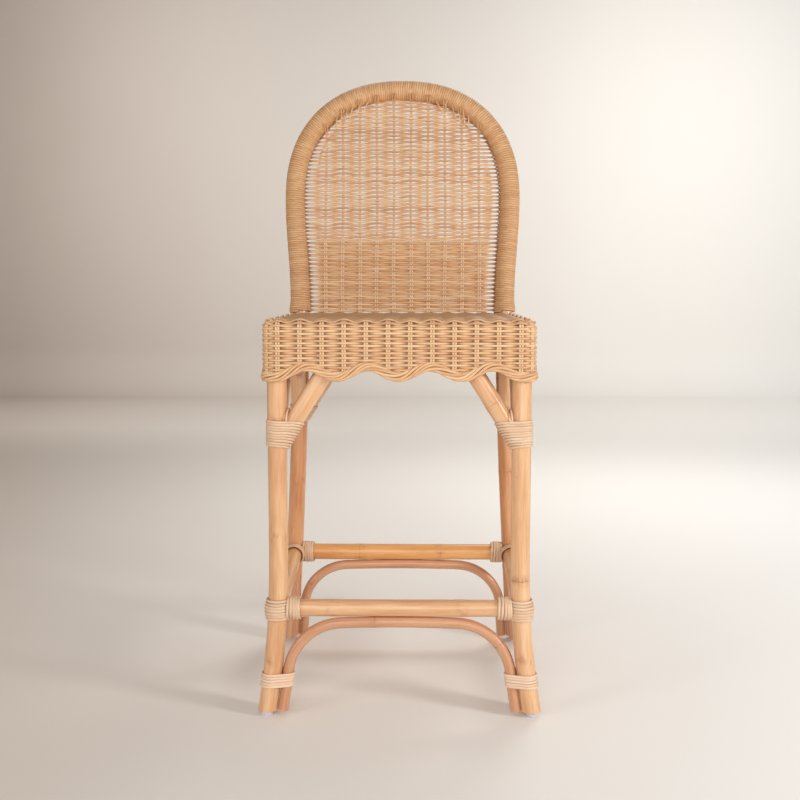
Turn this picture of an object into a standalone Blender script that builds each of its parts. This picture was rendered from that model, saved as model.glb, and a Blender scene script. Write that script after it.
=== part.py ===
"""Bar stool with a footrest: bent rattan poles bound with cane, under a woven seat and back.

Metres, +Z up.  The origin is on the floor under the middle of the stool.  A sitter faces -Y,
and left and right are named as seen from the front.
"""

import math

import bmesh
import bpy
from mathutils import Matrix, Vector

# Gap kept between pieces that touch.
GAP = 0.0003

# Legs: four poles, upright at the seat and bent outwards near the floor.
LEG_RADIUS = 0.016
LEG_TOP = 0.620
LEG_HALF_SPACING = 0.1988
FRONT_LEG_Y = -0.2127
REAR_LEG_Y = 0.1673
FRONT_BEND_HEIGHT = 0.30
FRONT_BEND_POWER = 2.4
FRONT_SPLAY_SIDEWAYS = 0.0214
FRONT_SPLAY_FORWARD = 0.012
REAR_BEND_POWER = 1.35
REAR_SPLAY_SIDEWAYS = 0.0275
REAR_SPLAY_BACK = 0.008

# Glides under the legs.
GLIDE_RADIUS = 0.010
GLIDE_HEIGHT = 0.008

# Footrest and the three other stretchers, with an arched pole under each.
STRETCHER_HEIGHT = 0.179
FOOTREST_RADIUS = 0.014
STRETCHER_RADIUS = 0.0155
ARCH_RADIUS = 0.0092
ARCH_FOOT_TOP = 0.073
ARCH_BEND_RUN = 0.081
ARCH_CROWN_SAG = 0.0035

# Corner braces, from each leg up to the seat frame.
BRACE_RADIUS = 0.015
BRACE_MEETS_LEG = 0.472
BRACE_RUN = 0.63

# Cane bindings.
CANE = 0.0028
FOOT_BINDING = (0.048, 0.072)
STRETCHER_BINDING = (0.161, 0.195)
BRACE_BINDING = {"front": (0.446, 0.492), "rear": (0.446, 0.479)}
BINDING_OPENING = 0.0045
WRAP_START = 0.0202
WRAP_LENGTH = 0.0198

# Seat frame rails, woven seat, skirt and the braid along the skirt's edge.
RAIL_RADIUS = 0.013
SEAT_TOP = 0.6565
SEAT_UNDERSIDE = 0.6466
SEAT_STEP = 0.0004
SEAT_STEP_FROM = 0.1460
SKIRT_INSIDE = 0.0170
SKIRT_OUTSIDE = 0.0225
BRAID_OFFSET = 0.0218
BRAID_HALF_WIDTH = 0.0045
BRAID_HALF_HEIGHT = 0.0082
BRAID_MIDDLE = 0.572
SCALLOP_DEPTH = 0.0085
SCALLOPS_PER_SIDE = 4
SCALLOP_PITCH = 2 * LEG_HALF_SPACING / SCALLOPS_PER_SIDE
STEPS_PER_SCALLOP = 6
CORNER_STEPS = 4

# Back: a raked hoop wrapped in cane round a woven panel.
HOOP_RADIUS = 0.016
HOOP_WRAP_RADIUS = 0.0196
HOOP_FOOT_HALF_SPACING = 0.1976
HOOP_LOW_HALF_SPACING = 0.1992
HOOP_ARC_RADIUS = 0.2095
HOOP_ARC_CENTRE = 0.8775
HOOP_ARC_POWER = 2.3
HOOP_Y = 0.1673
HOOP_TILT_FROM = 0.651
HOOP_RAKE = math.radians(7.0)
HOOP_WRAP_BOTTOM = 0.6530
PANEL_THICKNESS = 0.008
PANEL_BOTTOM = 0.6566

SIDES = {"left": -1, "right": 1}
ENDS = ("front", "rear")


def clear_scene():
    for item in list(bpy.data.objects):
        bpy.data.objects.remove(item, do_unlink=True)


def new_collection(name):
    collection = bpy.data.collections.new(name)
    bpy.context.scene.collection.children.link(collection)
    return collection


def new_material(name, colour, roughness):
    material = bpy.data.materials.new(name)
    material.use_nodes = True
    surface = material.node_tree.nodes["Principled BSDF"]
    surface.inputs["Base Color"].default_value = (*colour, 1.0)
    surface.inputs["Roughness"].default_value = roughness
    surface.inputs["Metallic"].default_value = 0.0
    return material


def leg_centre(end, side, height):
    """The point on a leg's centre line at a height above the floor."""
    if end == "front":
        bend = max(0.0, (FRONT_BEND_HEIGHT - height) / FRONT_BEND_HEIGHT) ** FRONT_BEND_POWER
        x = LEG_HALF_SPACING + FRONT_SPLAY_SIDEWAYS * bend
        y = FRONT_LEG_Y - FRONT_SPLAY_FORWARD * bend
    else:
        bend = max(0.0, (LEG_TOP - height) / LEG_TOP) ** REAR_BEND_POWER
        x = HOOP_FOOT_HALF_SPACING + REAR_SPLAY_SIDEWAYS * bend
        y = REAR_LEG_Y + REAR_SPLAY_BACK * bend
    return Vector((SIDES[side] * x, y, height))


def leg_direction(end, side, height):
    step = 0.005
    return (leg_centre(end, side, height + step) - leg_centre(end, side, height - step)).normalized()


def neighbours(end, side):
    """The two legs that a leg is joined to, across the stool and along its side."""
    other_side = "right" if side == "left" else "left"
    other_end = "rear" if end == "front" else "front"
    return {"across": (end, other_side), "along": (other_end, side)}


def inwards(end, side, way):
    """Level unit direction from a leg towards its neighbour."""
    if way == "across":
        return Vector((-SIDES[side], 0, 0))
    return Vector((0, 1 if end == "front" else -1, 0))


def between(leg_a, leg_b, distance, height):
    """The point at a height, on the line between two legs, at a distance from the first."""
    start = leg_centre(*leg_a, height)
    finish = leg_centre(*leg_b, height)
    return start + (finish - start).normalized() * distance


def span(leg_a, leg_b, height):
    return (leg_centre(*leg_b, height) - leg_centre(*leg_a, height)).length


def finish_object(item, collection, material):
    for old in list(item.users_collection):
        old.objects.unlink(item)
    collection.objects.link(item)
    item.data.materials.clear()
    if material is not None:
        item.data.materials.append(material)


def curve_object(name, points, radius, sides, cyclic=False, caps=True):
    """A round tube along a poly line, with its origin on the first point."""
    curve = bpy.data.curves.new(name, "CURVE")
    curve.dimensions = "3D"
    curve.bevel_depth = radius
    curve.bevel_resolution = (sides - 4) // 2
    curve.use_fill_caps = caps
    spline = curve.splines.new("POLY")
    spline.points.add(len(points) - 1)
    spline.use_cyclic_u = cyclic
    origin = Vector(points[0])
    for target, point in zip(spline.points, points):
        target.co = (*(Vector(point) - origin), 1.0)
    item = bpy.data.objects.new(name, curve)
    item.location = origin
    return item


def curve_to_mesh(item, collection):
    """Turn a curve object into a welded mesh object of the same name and place."""
    bpy.context.scene.collection.objects.link(item)
    bpy.context.view_layer.update()
    evaluated = item.evaluated_get(bpy.context.evaluated_depsgraph_get())
    mesh = bpy.data.meshes.new_from_object(evaluated)
    matrix = item.matrix_world.copy()
    name = item.name
    bpy.data.objects.remove(item, do_unlink=True)
    weld(mesh)
    mesh.shade_smooth()
    mesh.set_sharp_from_angle(angle=math.radians(40))
    solid = bpy.data.objects.new(name, mesh)
    collection.objects.link(solid)
    solid.matrix_world = matrix
    return solid


def weld(mesh):
    model = bmesh.new()
    model.from_mesh(mesh)
    bmesh.ops.remove_doubles(model, verts=model.verts, dist=0.00002)
    bmesh.ops.recalc_face_normals(model, faces=model.faces)
    model.to_mesh(mesh)
    model.free()


def pole(name, points, radius, sides, material):
    item = curve_to_mesh(curve_object(name, points, radius, sides), PARTS)
    item.data.materials.clear()
    item.data.materials.append(material)
    return item


def sleeve(name, points, inner_radius, outer_radius, sides, material):
    """A tube wall round a poly line: an open tube surface, thickened inwards."""
    facing = 1.0 / math.cos(math.pi / sides)
    item = curve_to_mesh(curve_object(name, points, outer_radius, sides, caps=False), PARTS)
    wall = item.modifiers.new("wall", "SOLIDIFY")
    wall.thickness = outer_radius - inner_radius * facing
    wall.offset = -1.0
    item.data.materials.clear()
    item.data.materials.append(material)
    return item


def plane_cutter(name, at, facing, size):
    """A cube whose one face lies on a plane, filling the side that the plane faces."""
    bpy.ops.mesh.primitive_cube_add(size=size)
    item = bpy.context.active_object
    item.name = name
    facing = Vector(facing).normalized()
    item.rotation_mode = "QUATERNION"
    item.rotation_quaternion = facing.to_track_quat("Z", "Y")
    item.location = Vector(at) + facing * size / 2
    as_cutter(item)
    return item


def as_cutter(item):
    finish_object(item, CUTTERS, None)
    item.hide_render = True
    item.display_type = "WIRE"


def cut(item, cutter):
    tool = item.modifiers.new("cut", "BOOLEAN")
    tool.operation = "DIFFERENCE"
    tool.solver = "EXACT"
    tool.object = cutter


def ellipse(centre, along, half_along, half_across, count, z):
    """Points of a level ellipse, its first axis along a level direction."""
    across = Vector((-along.y, along.x, 0))
    points = []
    for i in range(count):
        angle = 2 * math.pi * i / count
        offset = along * (math.cos(angle) * half_along) + across * (math.sin(angle) * half_across)
        points.append(Vector((centre.x + offset.x, centre.y + offset.y, z)))
    return points


def hull(name, points, collection, material):
    """The convex solid round a set of points."""
    model = bmesh.new()
    for point in points:
        model.verts.new(point)
    made = bmesh.ops.convex_hull(model, input=list(model.verts))
    spare = {v for v in made["geom_interior"] if isinstance(v, bmesh.types.BMVert)}
    bmesh.ops.delete(model, geom=list(spare), context="VERTS")
    bmesh.ops.dissolve_limit(
        model, angle_limit=math.radians(0.5), verts=list(model.verts), edges=list(model.edges)
    )
    bmesh.ops.recalc_face_normals(model, faces=model.faces)
    mesh = bpy.data.meshes.new(name)
    model.to_mesh(mesh)
    model.free()
    item = bpy.data.objects.new(name, mesh)
    collection.objects.link(item)
    if material is not None:
        mesh.materials.append(material)
    return item


def hull_binding(name, sections, heights, thickness):
    """Cane wound round several poles: the hull round them, less the hull they fill.

    sections(height, grow) gives the outline points of every pole at a height, each one grown.
    """
    low, high = heights
    outer = sections(low, GAP + thickness) + sections(high, GAP + thickness)
    overrun = 0.004
    inner = sections(low - overrun, GAP) + sections(high + overrun, GAP)
    item = hull(name, outer, PARTS, BINDING_CANE)
    core = hull(name + "_core", inner, CUTTERS, None)
    as_cutter(core)
    cut(item, core)
    return item


def add_legs():
    for end in ENDS:
        for side in SIDES:
            top = LEG_TOP
            levels = [0.0, 0.02, 0.045, 0.075, 0.11, 0.15, 0.20, 0.27, 0.37, 0.49, top]
            points = [leg_centre(end, side, z) for z in levels]
            points[0] = points[0] - leg_direction(end, side, 0.0) * 0.01
            item = pole(f"leg_{end}_{side}", points, LEG_RADIUS, 16, RATTAN_POLE)
            cut(item, FLOOR_CUTTER)
            cut(item, ABOVE_LEG_CUTTER)


def add_glides():
    for end in ENDS:
        for side in SIDES:
            at = leg_centre(end, side, 0.0)
            bpy.ops.mesh.primitive_cylinder_add(
                vertices=16, radius=GLIDE_RADIUS, depth=GLIDE_HEIGHT,
                location=(at.x, at.y, GLIDE_HEIGHT / 2),
            )
            item = bpy.context.active_object
            item.name = f"glide_{end}_{side}"
            finish_object(item, PARTS, GLIDE_PLASTIC)


def stretcher_runs():
    """Name, the two legs and the radius of the footrest and the other stretchers."""
    return (
        ("front", ("front", "left"), ("front", "right"), FOOTREST_RADIUS),
        ("rear", ("rear", "left"), ("rear", "right"), STRETCHER_RADIUS),
        ("left", ("front", "left"), ("rear", "left"), STRETCHER_RADIUS),
        ("right", ("front", "right"), ("rear", "right"), STRETCHER_RADIUS),
    )


def add_stretchers():
    clear = LEG_RADIUS + 0.0014
    for where, leg_a, leg_b, radius in stretcher_runs():
        name = "footrest" if where == "front" else f"stretcher_{where}"
        start = between(leg_a, leg_b, clear, STRETCHER_HEIGHT)
        finish = between(leg_b, leg_a, clear, STRETCHER_HEIGHT)
        pole(name, [start, finish], radius, 16, RATTAN_POLE)


def arch_half(leg_a, leg_b, crown):
    """Points of half an arch: up beside the first leg, round the bend and on to the crown."""
    beside = LEG_RADIUS + ARCH_RADIUS + GAP
    points = [between(leg_a, leg_b, beside, z) for z in (-0.008, 0.02, 0.045, 0.07, ARCH_FOOT_TOP)]
    half_span = span(leg_a, leg_b, STRETCHER_HEIGHT) / 2
    shoulder = crown - ARCH_CROWN_SAG
    steps = 6
    for i in range(1, steps + 1):
        angle = math.pi / 2 * i / steps
        distance = beside + ARCH_BEND_RUN * (1 - math.cos(angle))
        sag = ARCH_CROWN_SAG * (1 - math.cos(angle)) * 0.5
        height = ARCH_FOOT_TOP + (shoulder - ARCH_FOOT_TOP) * math.sin(angle) + sag
        points.append(between(leg_a, leg_b, distance, height))
    start = beside + ARCH_BEND_RUN
    low = shoulder + ARCH_CROWN_SAG * 0.5
    for t in (0.35, 0.7):
        height = low + (crown - low) * math.sin(math.pi / 2 * t)
        points.append(between(leg_a, leg_b, start + (half_span - start) * t, height))
    return points


def add_arches():
    for where, leg_a, leg_b, radius in stretcher_runs():
        crown = STRETCHER_HEIGHT - radius - GAP - ARCH_RADIUS
        points = arch_half(leg_a, leg_b, crown) + arch_half(leg_b, leg_a, crown)[::-1]
        item = pole(f"arch_{where}", points, ARCH_RADIUS, 10, RATTAN_POLE)
        cut(item, FLOOR_CUTTER)


def brace_centre(end, side, way, height):
    """The point on a brace's straight centre line at a height."""
    direction = inwards(end, side, way)
    foot = leg_centre(end, side, BRACE_MEETS_LEG) + direction * (LEG_RADIUS + GAP)
    rise = LEG_TOP - BRACE_MEETS_LEG
    head = leg_centre(end, side, LEG_TOP) + direction * (LEG_RADIUS + GAP + rise * BRACE_RUN)
    return foot + (head - foot) * ((height - BRACE_MEETS_LEG) / rise)


def add_braces():
    for end in ENDS:
        for side in SIDES:
            for way in ("across", "along"):
                points = [brace_centre(end, side, way, z) for z in (0.425, 0.645)]
                name = f"brace_{way}_{end}_{side}"
                item = pole(name, points, BRACE_RADIUS, 14, RATTAN_POLE)
                facing = -inwards(end, side, way)
                direction = leg_direction(end, side, BRACE_MEETS_LEG)
                facing = facing - direction * facing.dot(direction)
                at = leg_centre(end, side, BRACE_MEETS_LEG) - facing.normalized() * (LEG_RADIUS + GAP)
                cut(item, plane_cutter(name + "_leg_side", at, facing, 0.12))
                cut(item, ABOVE_BRACE_CUTTER)


def add_foot_bindings():
    for end in ENDS:
        for side in SIDES:
            def sections(z, grow, end=end, side=side):
                radius = (LEG_RADIUS + grow) / math.cos(math.pi / 24)
                points = ellipse(leg_centre(end, side, z), Vector((1, 0, 0)), radius, radius, 24, z)
                radius = (ARCH_RADIUS + grow) / math.cos(math.pi / 16)
                for neighbour in neighbours(end, side).values():
                    beside = LEG_RADIUS + ARCH_RADIUS + GAP
                    foot = between((end, side), neighbour, beside, z)
                    points += ellipse(foot, Vector((1, 0, 0)), radius, radius, 16, z)
                return points
            hull_binding(f"foot_binding_{end}_{side}", sections, FOOT_BINDING, CANE)


def add_stretcher_bindings():
    """Cane round each leg at the stretchers, open on the two sides that they meet."""
    low, high = STRETCHER_BINDING
    middle = (low + high) / 2
    for end in ENDS:
        for side in SIDES:
            def sections(z, grow, end=end, side=side):
                radius = (LEG_RADIUS + grow) / math.cos(math.pi / 24)
                return ellipse(leg_centre(end, side, z), Vector((1, 0, 0)), radius, radius, 24, z)
            name = f"leg_binding_{end}_{side}"
            item = hull_binding(name, sections, STRETCHER_BINDING, CANE)
            facing = (inwards(end, side, "across") + inwards(end, side, "along")).normalized()
            at = leg_centre(end, side, middle) + facing * BINDING_OPENING
            cut(item, plane_cutter(name + "_opening", at, facing, 0.08))


def add_stretcher_wraps():
    for where, leg_a, leg_b, radius in stretcher_runs():
        for near, far in ((leg_a, leg_b), (leg_b, leg_a)):
            points = [
                between(near, far, WRAP_START, STRETCHER_HEIGHT),
                between(near, far, WRAP_START + WRAP_LENGTH, STRETCHER_HEIGHT),
            ]
            name = f"wrap_{where}_at_{near[0]}_{near[1]}"
            sleeve(name, points, radius + GAP, radius + GAP + CANE, 14, BINDING_CANE)


def add_brace_bindings():
    stretch = math.sqrt(1 + BRACE_RUN ** 2)
    for end in ENDS:
        for side in SIDES:
            def sections(z, grow, end=end, side=side):
                radius = (LEG_RADIUS + grow) / math.cos(math.pi / 24)
                points = ellipse(leg_centre(end, side, z), Vector((1, 0, 0)), radius, radius, 24, z)
                radius = (BRACE_RADIUS + grow) / math.cos(math.pi / 20)
                for way in ("across", "along"):
                    along = inwards(end, side, way)
                    middle = brace_centre(end, side, way, z)
                    points += ellipse(middle, along, radius * stretch, radius, 20, z)
                return points
            hull_binding(f"brace_binding_{end}_{side}", sections, BRACE_BINDING[end], CANE)


def add_rails():
    """Four poles on top of the legs that carry the woven seat."""
    z = LEG_TOP + GAP + RAIL_RADIUS
    reach = LEG_HALF_SPACING + 0.009
    clear = RAIL_RADIUS + GAP
    hoop_clear = HOOP_RADIUS + 2 * GAP
    foot_y = hoop_y(LEG_TOP)
    x = LEG_HALF_SPACING
    runs = (
        ("front", (-reach, FRONT_LEG_Y, z), (reach, FRONT_LEG_Y, z)),
        ("rear", (-HOOP_FOOT_HALF_SPACING + hoop_clear, REAR_LEG_Y, z),
         (HOOP_FOOT_HALF_SPACING - hoop_clear, REAR_LEG_Y, z)),
        ("left", (-x, FRONT_LEG_Y + clear, z), (-x, foot_y - hoop_clear, z)),
        ("right", (x, FRONT_LEG_Y + clear, z), (x, foot_y - hoop_clear, z)),
    )
    for where, start, finish in runs:
        pole(f"seat_rail_{where}", [start, finish], RAIL_RADIUS, 14, RATTAN_POLE)


def edge_run(offset):
    """Points round the seat, outside the leg lines, each with its phase along the scallops."""
    half_x = LEG_HALF_SPACING
    half_y = (REAR_LEG_Y - FRONT_LEG_Y) / 2
    middle = (REAR_LEG_Y + FRONT_LEG_Y) / 2
    sides = (
        (Vector((0, -1)), Vector((1, 0)), half_y, half_x),
        (Vector((1, 0)), Vector((0, 1)), half_x, half_y),
        (Vector((0, 1)), Vector((-1, 0)), half_y, half_x),
        (Vector((-1, 0)), Vector((0, -1)), half_x, half_y),
    )
    run = []
    for outward, along, distance, half in sides:
        count = SCALLOPS_PER_SIDE * STEPS_PER_SCALLOP
        for i in range(count):
            t = i / count
            place = outward * (distance + offset) + along * half * (2 * t - 1)
            run.append((place.x, place.y + middle, SCALLOPS_PER_SIDE * t))
        corner = outward * distance + along * half
        for i in range(CORNER_STEPS):
            angle = math.pi / 2 * i / CORNER_STEPS
            place = corner + (outward * math.cos(angle) + along * math.sin(angle)) * offset
            run.append((place.x, place.y + middle, 0.0))
    return run


def scallop_height(phase):
    """Height of the braid's middle: low at the corners, high in the middle of each scallop."""
    return BRAID_MIDDLE - SCALLOP_DEPTH * math.cos(2 * math.pi * phase)


def add_skirt():
    """The woven wall under the seat: a strip round the seat, thickened."""
    middle = (SKIRT_INSIDE + SKIRT_OUTSIDE) / 2
    top = SEAT_UNDERSIDE - GAP
    model = bmesh.new()
    ring = []
    for x, y, phase in edge_run(middle):
        slope = 2 * math.pi * SCALLOP_DEPTH / SCALLOP_PITCH * math.sin(2 * math.pi * phase)
        bottom = scallop_height(phase) + BRAID_HALF_HEIGHT * math.hypot(1, slope) + 2 * GAP
        ring.append(model.verts.new((x, y, bottom)))
    edges = [model.edges.new((ring[i], ring[(i + 1) % len(ring)])) for i in range(len(ring))]
    grown = bmesh.ops.extrude_edge_only(model, edges=edges)["geom"]
    for vert in grown:
        if isinstance(vert, bmesh.types.BMVert):
            vert.co.z = top
    bmesh.ops.recalc_face_normals(model, faces=model.faces)
    mesh = bpy.data.meshes.new("woven_skirt")
    model.to_mesh(mesh)
    model.free()
    item = bpy.data.objects.new("woven_skirt", mesh)
    PARTS.objects.link(item)
    mesh.materials.append(WICKER)
    wall = item.modifiers.new("wall", "SOLIDIFY")
    wall.thickness = SKIRT_OUTSIDE - SKIRT_INSIDE
    wall.offset = 0.0
    wall.use_even_offset = True


def add_braid():
    """The braid along the skirt's scalloped edge: an oval rope."""
    outline = bpy.data.curves.new("braid_outline", "CURVE")
    outline.dimensions = "2D"
    spline = outline.splines.new("POLY")
    count = 8
    spline.points.add(count - 1)
    spline.use_cyclic_u = True
    for i in range(count):
        angle = 2 * math.pi * (i + 0.5) / count
        spline.points[i].co = (
            BRAID_HALF_WIDTH * math.cos(angle) / math.cos(math.pi / count),
            BRAID_HALF_HEIGHT * math.sin(angle) / math.cos(math.pi / count), 0.0, 1.0,
        )
    guide = bpy.data.objects.new("braid_outline", outline)
    as_cutter(guide)
    points = [(x, y, scallop_height(phase)) for x, y, phase in edge_run(BRAID_OFFSET)]
    item = curve_object("skirt_braid", points, 0.0, 8, cyclic=True, caps=False)
    item.data.twist_mode = "Z_UP"
    item.data.bevel_mode = "OBJECT"
    item.data.bevel_object = guide
    solid = curve_to_mesh(item, PARTS)
    solid.data.materials.append(WICKER)


def add_seat():
    """The woven seat, a flat cover, a step lower under the back and holed for the hoop's feet."""
    outline = bpy.data.curves.new("woven_seat", "CURVE")
    outline.dimensions = "2D"
    outline.fill_mode = "BOTH"
    outline.extrude = (SEAT_TOP - SEAT_UNDERSIDE) / 2
    middle = (SEAT_TOP + SEAT_UNDERSIDE) / 2
    edge = [(x, y) for x, y, phase in edge_run(SKIRT_OUTSIDE)]
    straight = SCALLOPS_PER_SIDE * STEPS_PER_SCALLOP
    side = straight + CORNER_STEPS
    corners = [edge[i] for i in range(len(edge)) if i % side == 0 or i % side >= straight]
    loops = [corners]
    for sign in SIDES.values():
        hole = []
        for i in range(20):
            angle = 2 * math.pi * i / 20
            radius = HOOP_RADIUS + 0.0016
            x = sign * HOOP_LOW_HALF_SPACING + radius * math.cos(angle)
            hole.append((x, hoop_y(middle) + radius * math.sin(angle)))
        loops.append(hole)
    for loop in loops:
        spline = outline.splines.new("POLY")
        spline.points.add(len(loop) - 1)
        spline.use_cyclic_u = True
        for target, point in zip(spline.points, loop):
            target.co = (*point, 0.0, 1.0)
    item = bpy.data.objects.new("woven_seat", outline)
    item.location = (0, 0, middle)
    solid = curve_to_mesh(item, PARTS)
    solid.data.materials.append(WICKER)
    cut(solid, SEAT_STEP_CUTTER)


def hoop_y(height):
    """How far back the hoop's plane is at a height."""
    return HOOP_Y + (height - HOOP_TILT_FROM) * math.tan(HOOP_RAKE)


def hoop_half_width(height, inset):
    """Half the width between the hoop's sides at a height below its arc, less an inset."""
    if height <= HOOP_WRAP_BOTTOM:
        t = (height - LEG_TOP) / (HOOP_WRAP_BOTTOM - LEG_TOP)
        return HOOP_FOOT_HALF_SPACING + (HOOP_LOW_HALF_SPACING - HOOP_FOOT_HALF_SPACING) * t - inset
    t = max(0.0, (height - 0.68) / (HOOP_ARC_CENTRE - 0.68))
    ease = t * t * (3 - 2 * t)
    return HOOP_LOW_HALF_SPACING + (HOOP_ARC_RADIUS - HOOP_LOW_HALF_SPACING) * ease - inset


def hoop_arc_point(angle, inset):
    """A point (x, height) on the hoop's arc, a little squarer than a circle, less an inset."""
    reach = abs(math.cos(angle)) ** (2 / HOOP_ARC_POWER)
    across = -math.copysign(reach, math.cos(angle))
    up = abs(math.sin(angle)) ** (2 / HOOP_ARC_POWER)
    normal = Vector((math.copysign(reach ** (HOOP_ARC_POWER - 1), across), up ** (HOOP_ARC_POWER - 1)))
    normal.normalize()
    x = HOOP_ARC_RADIUS * across - inset * normal.x
    return x, HOOP_ARC_CENTRE + HOOP_ARC_RADIUS * up - inset * normal.y


def hoop_line(bottom, inset, arc_steps):
    """Points up one side, over the top and down the other, as (x, height)."""
    levels = [z for z in (HOOP_WRAP_BOTTOM, 0.68, 0.73, 0.78, 0.83) if z > bottom]
    left = [(-hoop_half_width(z, inset), z) for z in [bottom] + levels]
    arc = [hoop_arc_point(math.pi * i / arc_steps, inset) for i in range(arc_steps + 1)]
    right = [(-x, z) for x, z in reversed(left)]
    return left + arc + right


def add_hoop():
    bottom = LEG_TOP + GAP
    points = [(x, hoop_y(z), z) for x, z in hoop_line(bottom - 0.01, 0.0, 20)]
    item = pole("back_hoop", points, HOOP_RADIUS, 14, RATTAN_POLE)
    cut(item, BELOW_HOOP_CUTTER)
    points = [(x, hoop_y(z), z) for x, z in hoop_line(HOOP_WRAP_BOTTOM, 0.0, 20)]
    wrap = sleeve("hoop_wrap", points, HOOP_RADIUS + 2 * GAP, HOOP_WRAP_RADIUS, 14, WICKER)
    cut(wrap, BELOW_WRAP_CUTTER)


def add_panel():
    """The woven back, a sheet that fills the hoop, lying in the hoop's plane."""
    curve = bpy.data.curves.new("back_panel", "CURVE")
    curve.dimensions = "2D"
    curve.fill_mode = "BOTH"
    curve.extrude = PANEL_THICKNESS / 2
    base = PANEL_BOTTOM + 0.001
    slope = math.cos(HOOP_RAKE)
    outline = [(x, (z - base) / slope) for x, z in hoop_line(base, HOOP_WRAP_RADIUS + GAP, 20)]
    spline = curve.splines.new("POLY")
    spline.points.add(len(outline) - 1)
    spline.use_cyclic_u = True
    for target, point in zip(spline.points, outline):
        target.co = (*point, 0.0, 1.0)
    item = bpy.data.objects.new("back_panel", curve)
    item.matrix_world = (
        Matrix.Translation((0, hoop_y(base), base))
        @ Matrix.Rotation(math.pi / 2 - HOOP_RAKE, 4, "X")
    )
    solid = curve_to_mesh(item, PARTS)
    solid.data.materials.append(WICKER)


clear_scene()
PARTS = new_collection("bar_stool")
CUTTERS = new_collection("cutters")

RATTAN_POLE = new_material("rattan_pole", (0.68, 0.42, 0.22), 0.42)
WICKER = new_material("wicker", (0.66, 0.44, 0.24), 0.55)
BINDING_CANE = new_material("binding_cane", (0.76, 0.54, 0.32), 0.4)
GLIDE_PLASTIC = new_material("glide_plastic", (0.45, 0.5, 0.56), 0.4)

FLOOR_CUTTER = plane_cutter("below_feet", (0, 0, GLIDE_HEIGHT + GAP), (0, 0, -1), 1.2)
ABOVE_LEG_CUTTER = plane_cutter("above_legs", (0, 0, LEG_TOP), (0, 0, 1), 1.2)
ABOVE_BRACE_CUTTER = plane_cutter("above_braces", (0, 0, LEG_TOP), (0, 0, 1), 1.2)
BELOW_HOOP_CUTTER = plane_cutter("below_hoop", (0, 0, LEG_TOP + GAP), (0, 0, -1), 1.2)
BACK_FOOT = SEAT_TOP - SEAT_STEP
SEAT_STEP_CUTTER = plane_cutter("seat_step", (0, SEAT_STEP_FROM + 0.6, BACK_FOOT), (0, 0, 1), 1.2)
BELOW_WRAP_CUTTER = plane_cutter("below_wrap", (0, 0, BACK_FOOT + GAP), (0, 0, -1), 1.2)

add_legs()
add_glides()
add_stretchers()
add_arches()
add_braces()
add_foot_bindings()
add_stretcher_bindings()
add_stretcher_wraps()
add_brace_bindings()
add_rails()
add_skirt()
add_braid()
add_seat()
add_hoop()
add_panel()
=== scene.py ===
"""Looks of the bar stool: rattan poles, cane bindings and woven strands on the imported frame.

Metres, +Z up.  The stool faces -Y, and left and right are named as seen from the front.
"""

import math

import bpy
import numpy as np
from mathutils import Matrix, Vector


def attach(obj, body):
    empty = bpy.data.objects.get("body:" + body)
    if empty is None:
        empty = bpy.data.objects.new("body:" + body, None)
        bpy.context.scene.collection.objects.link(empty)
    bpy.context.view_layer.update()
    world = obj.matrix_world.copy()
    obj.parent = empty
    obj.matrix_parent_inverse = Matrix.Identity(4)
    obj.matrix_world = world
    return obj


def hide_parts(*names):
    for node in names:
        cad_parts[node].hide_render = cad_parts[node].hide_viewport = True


# Gap kept between pieces that touch, and the directions in which a leg is joined to others.
GAP = 0.0003
WAYS = ("across", "along")
X_AXIS = np.array([1.0, 0.0, 0.0])
SIDES = {"left": -1, "right": 1}
CORNERS = [(end, side) for end in ("front", "rear") for side in SIDES]

# Legs.
LEG_RADIUS = 0.016
LEG_HALF_SPACING = 0.1988
LEG_TOP = 0.620
FRONT_LEG_Y = -0.2127
REAR_LEG_Y = 0.1673
FOOT_BOTTOM = 0.0083

# Each pair's half spacing and depth at the top, the height and power of its bend, and its splay.
LEG_LINES = {
    "front": (LEG_HALF_SPACING, FRONT_LEG_Y, 0.30, 2.4, 0.0214, -0.012),
    "rear": (0.1976, REAR_LEG_Y, LEG_TOP, 1.35, 0.0275, 0.008),
}

# Outline of a glide.
GLIDE_HEIGHTS = (0.0, 0.0004, 0.0014, 0.0060, 0.0074, 0.008)
GLIDE_RADII = (0.0086, 0.0096, 0.0100, 0.0100, 0.0096, 0.0088)

# Stretchers, arches and braces.
STRETCHER_HEIGHT = 0.179
STRETCHER_START = 0.006
FOOTREST_RADIUS = 0.014
STRETCHER_RADIUS = 0.0155
ARCH_RADIUS = 0.0092
ARCH_BESIDE_LEG = LEG_RADIUS + ARCH_RADIUS + GAP
ARCH_FOOT_TOP = 0.073
ARCH_BEND_RUN = 0.081
ARCH_CROWN_SAG = 0.0035
BRACE_RADIUS = 0.015
BRACE_MEETS_LEG = 0.472
BRACE_RUN = 0.63
BRACE_ENDS = (0.452, 0.612)

# A pole's surface: the swelling and the fine groove at each node, each with its reach.
POLE_STEP = 0.004
POLE_SHARE = 0.995
POLE_WANDER = 0.012
WANDER_SPOTS = 7
NODE_SWELL = (0.030, 0.010)
NODE_GROOVE = (0.012, 0.003)

# Where the nodes are, as shares of each pole's length.
LEG_NODES = {
    ("front", "left"): (0.14, 0.474, 0.79), ("front", "right"): (0.147, 0.361, 0.75),
    ("rear", "left"): (0.20, 0.52, 0.80), ("rear", "right"): (0.24, 0.55, 0.85),
}
STRETCHER_NODES = {"front": (0.22, 0.76), "rear": (0.30, 0.68), "left": (0.4,), "right": (0.55,)}
ARCH_NODES = {"front": (0.12, 0.43, 0.80), "rear": (0.18, 0.62), "left": (0.3, 0.75), "right": (0.2, 0.6)}
BRACE_NODES = {"left": (), "right": (0.42,), "along": (0.6,)}

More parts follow.
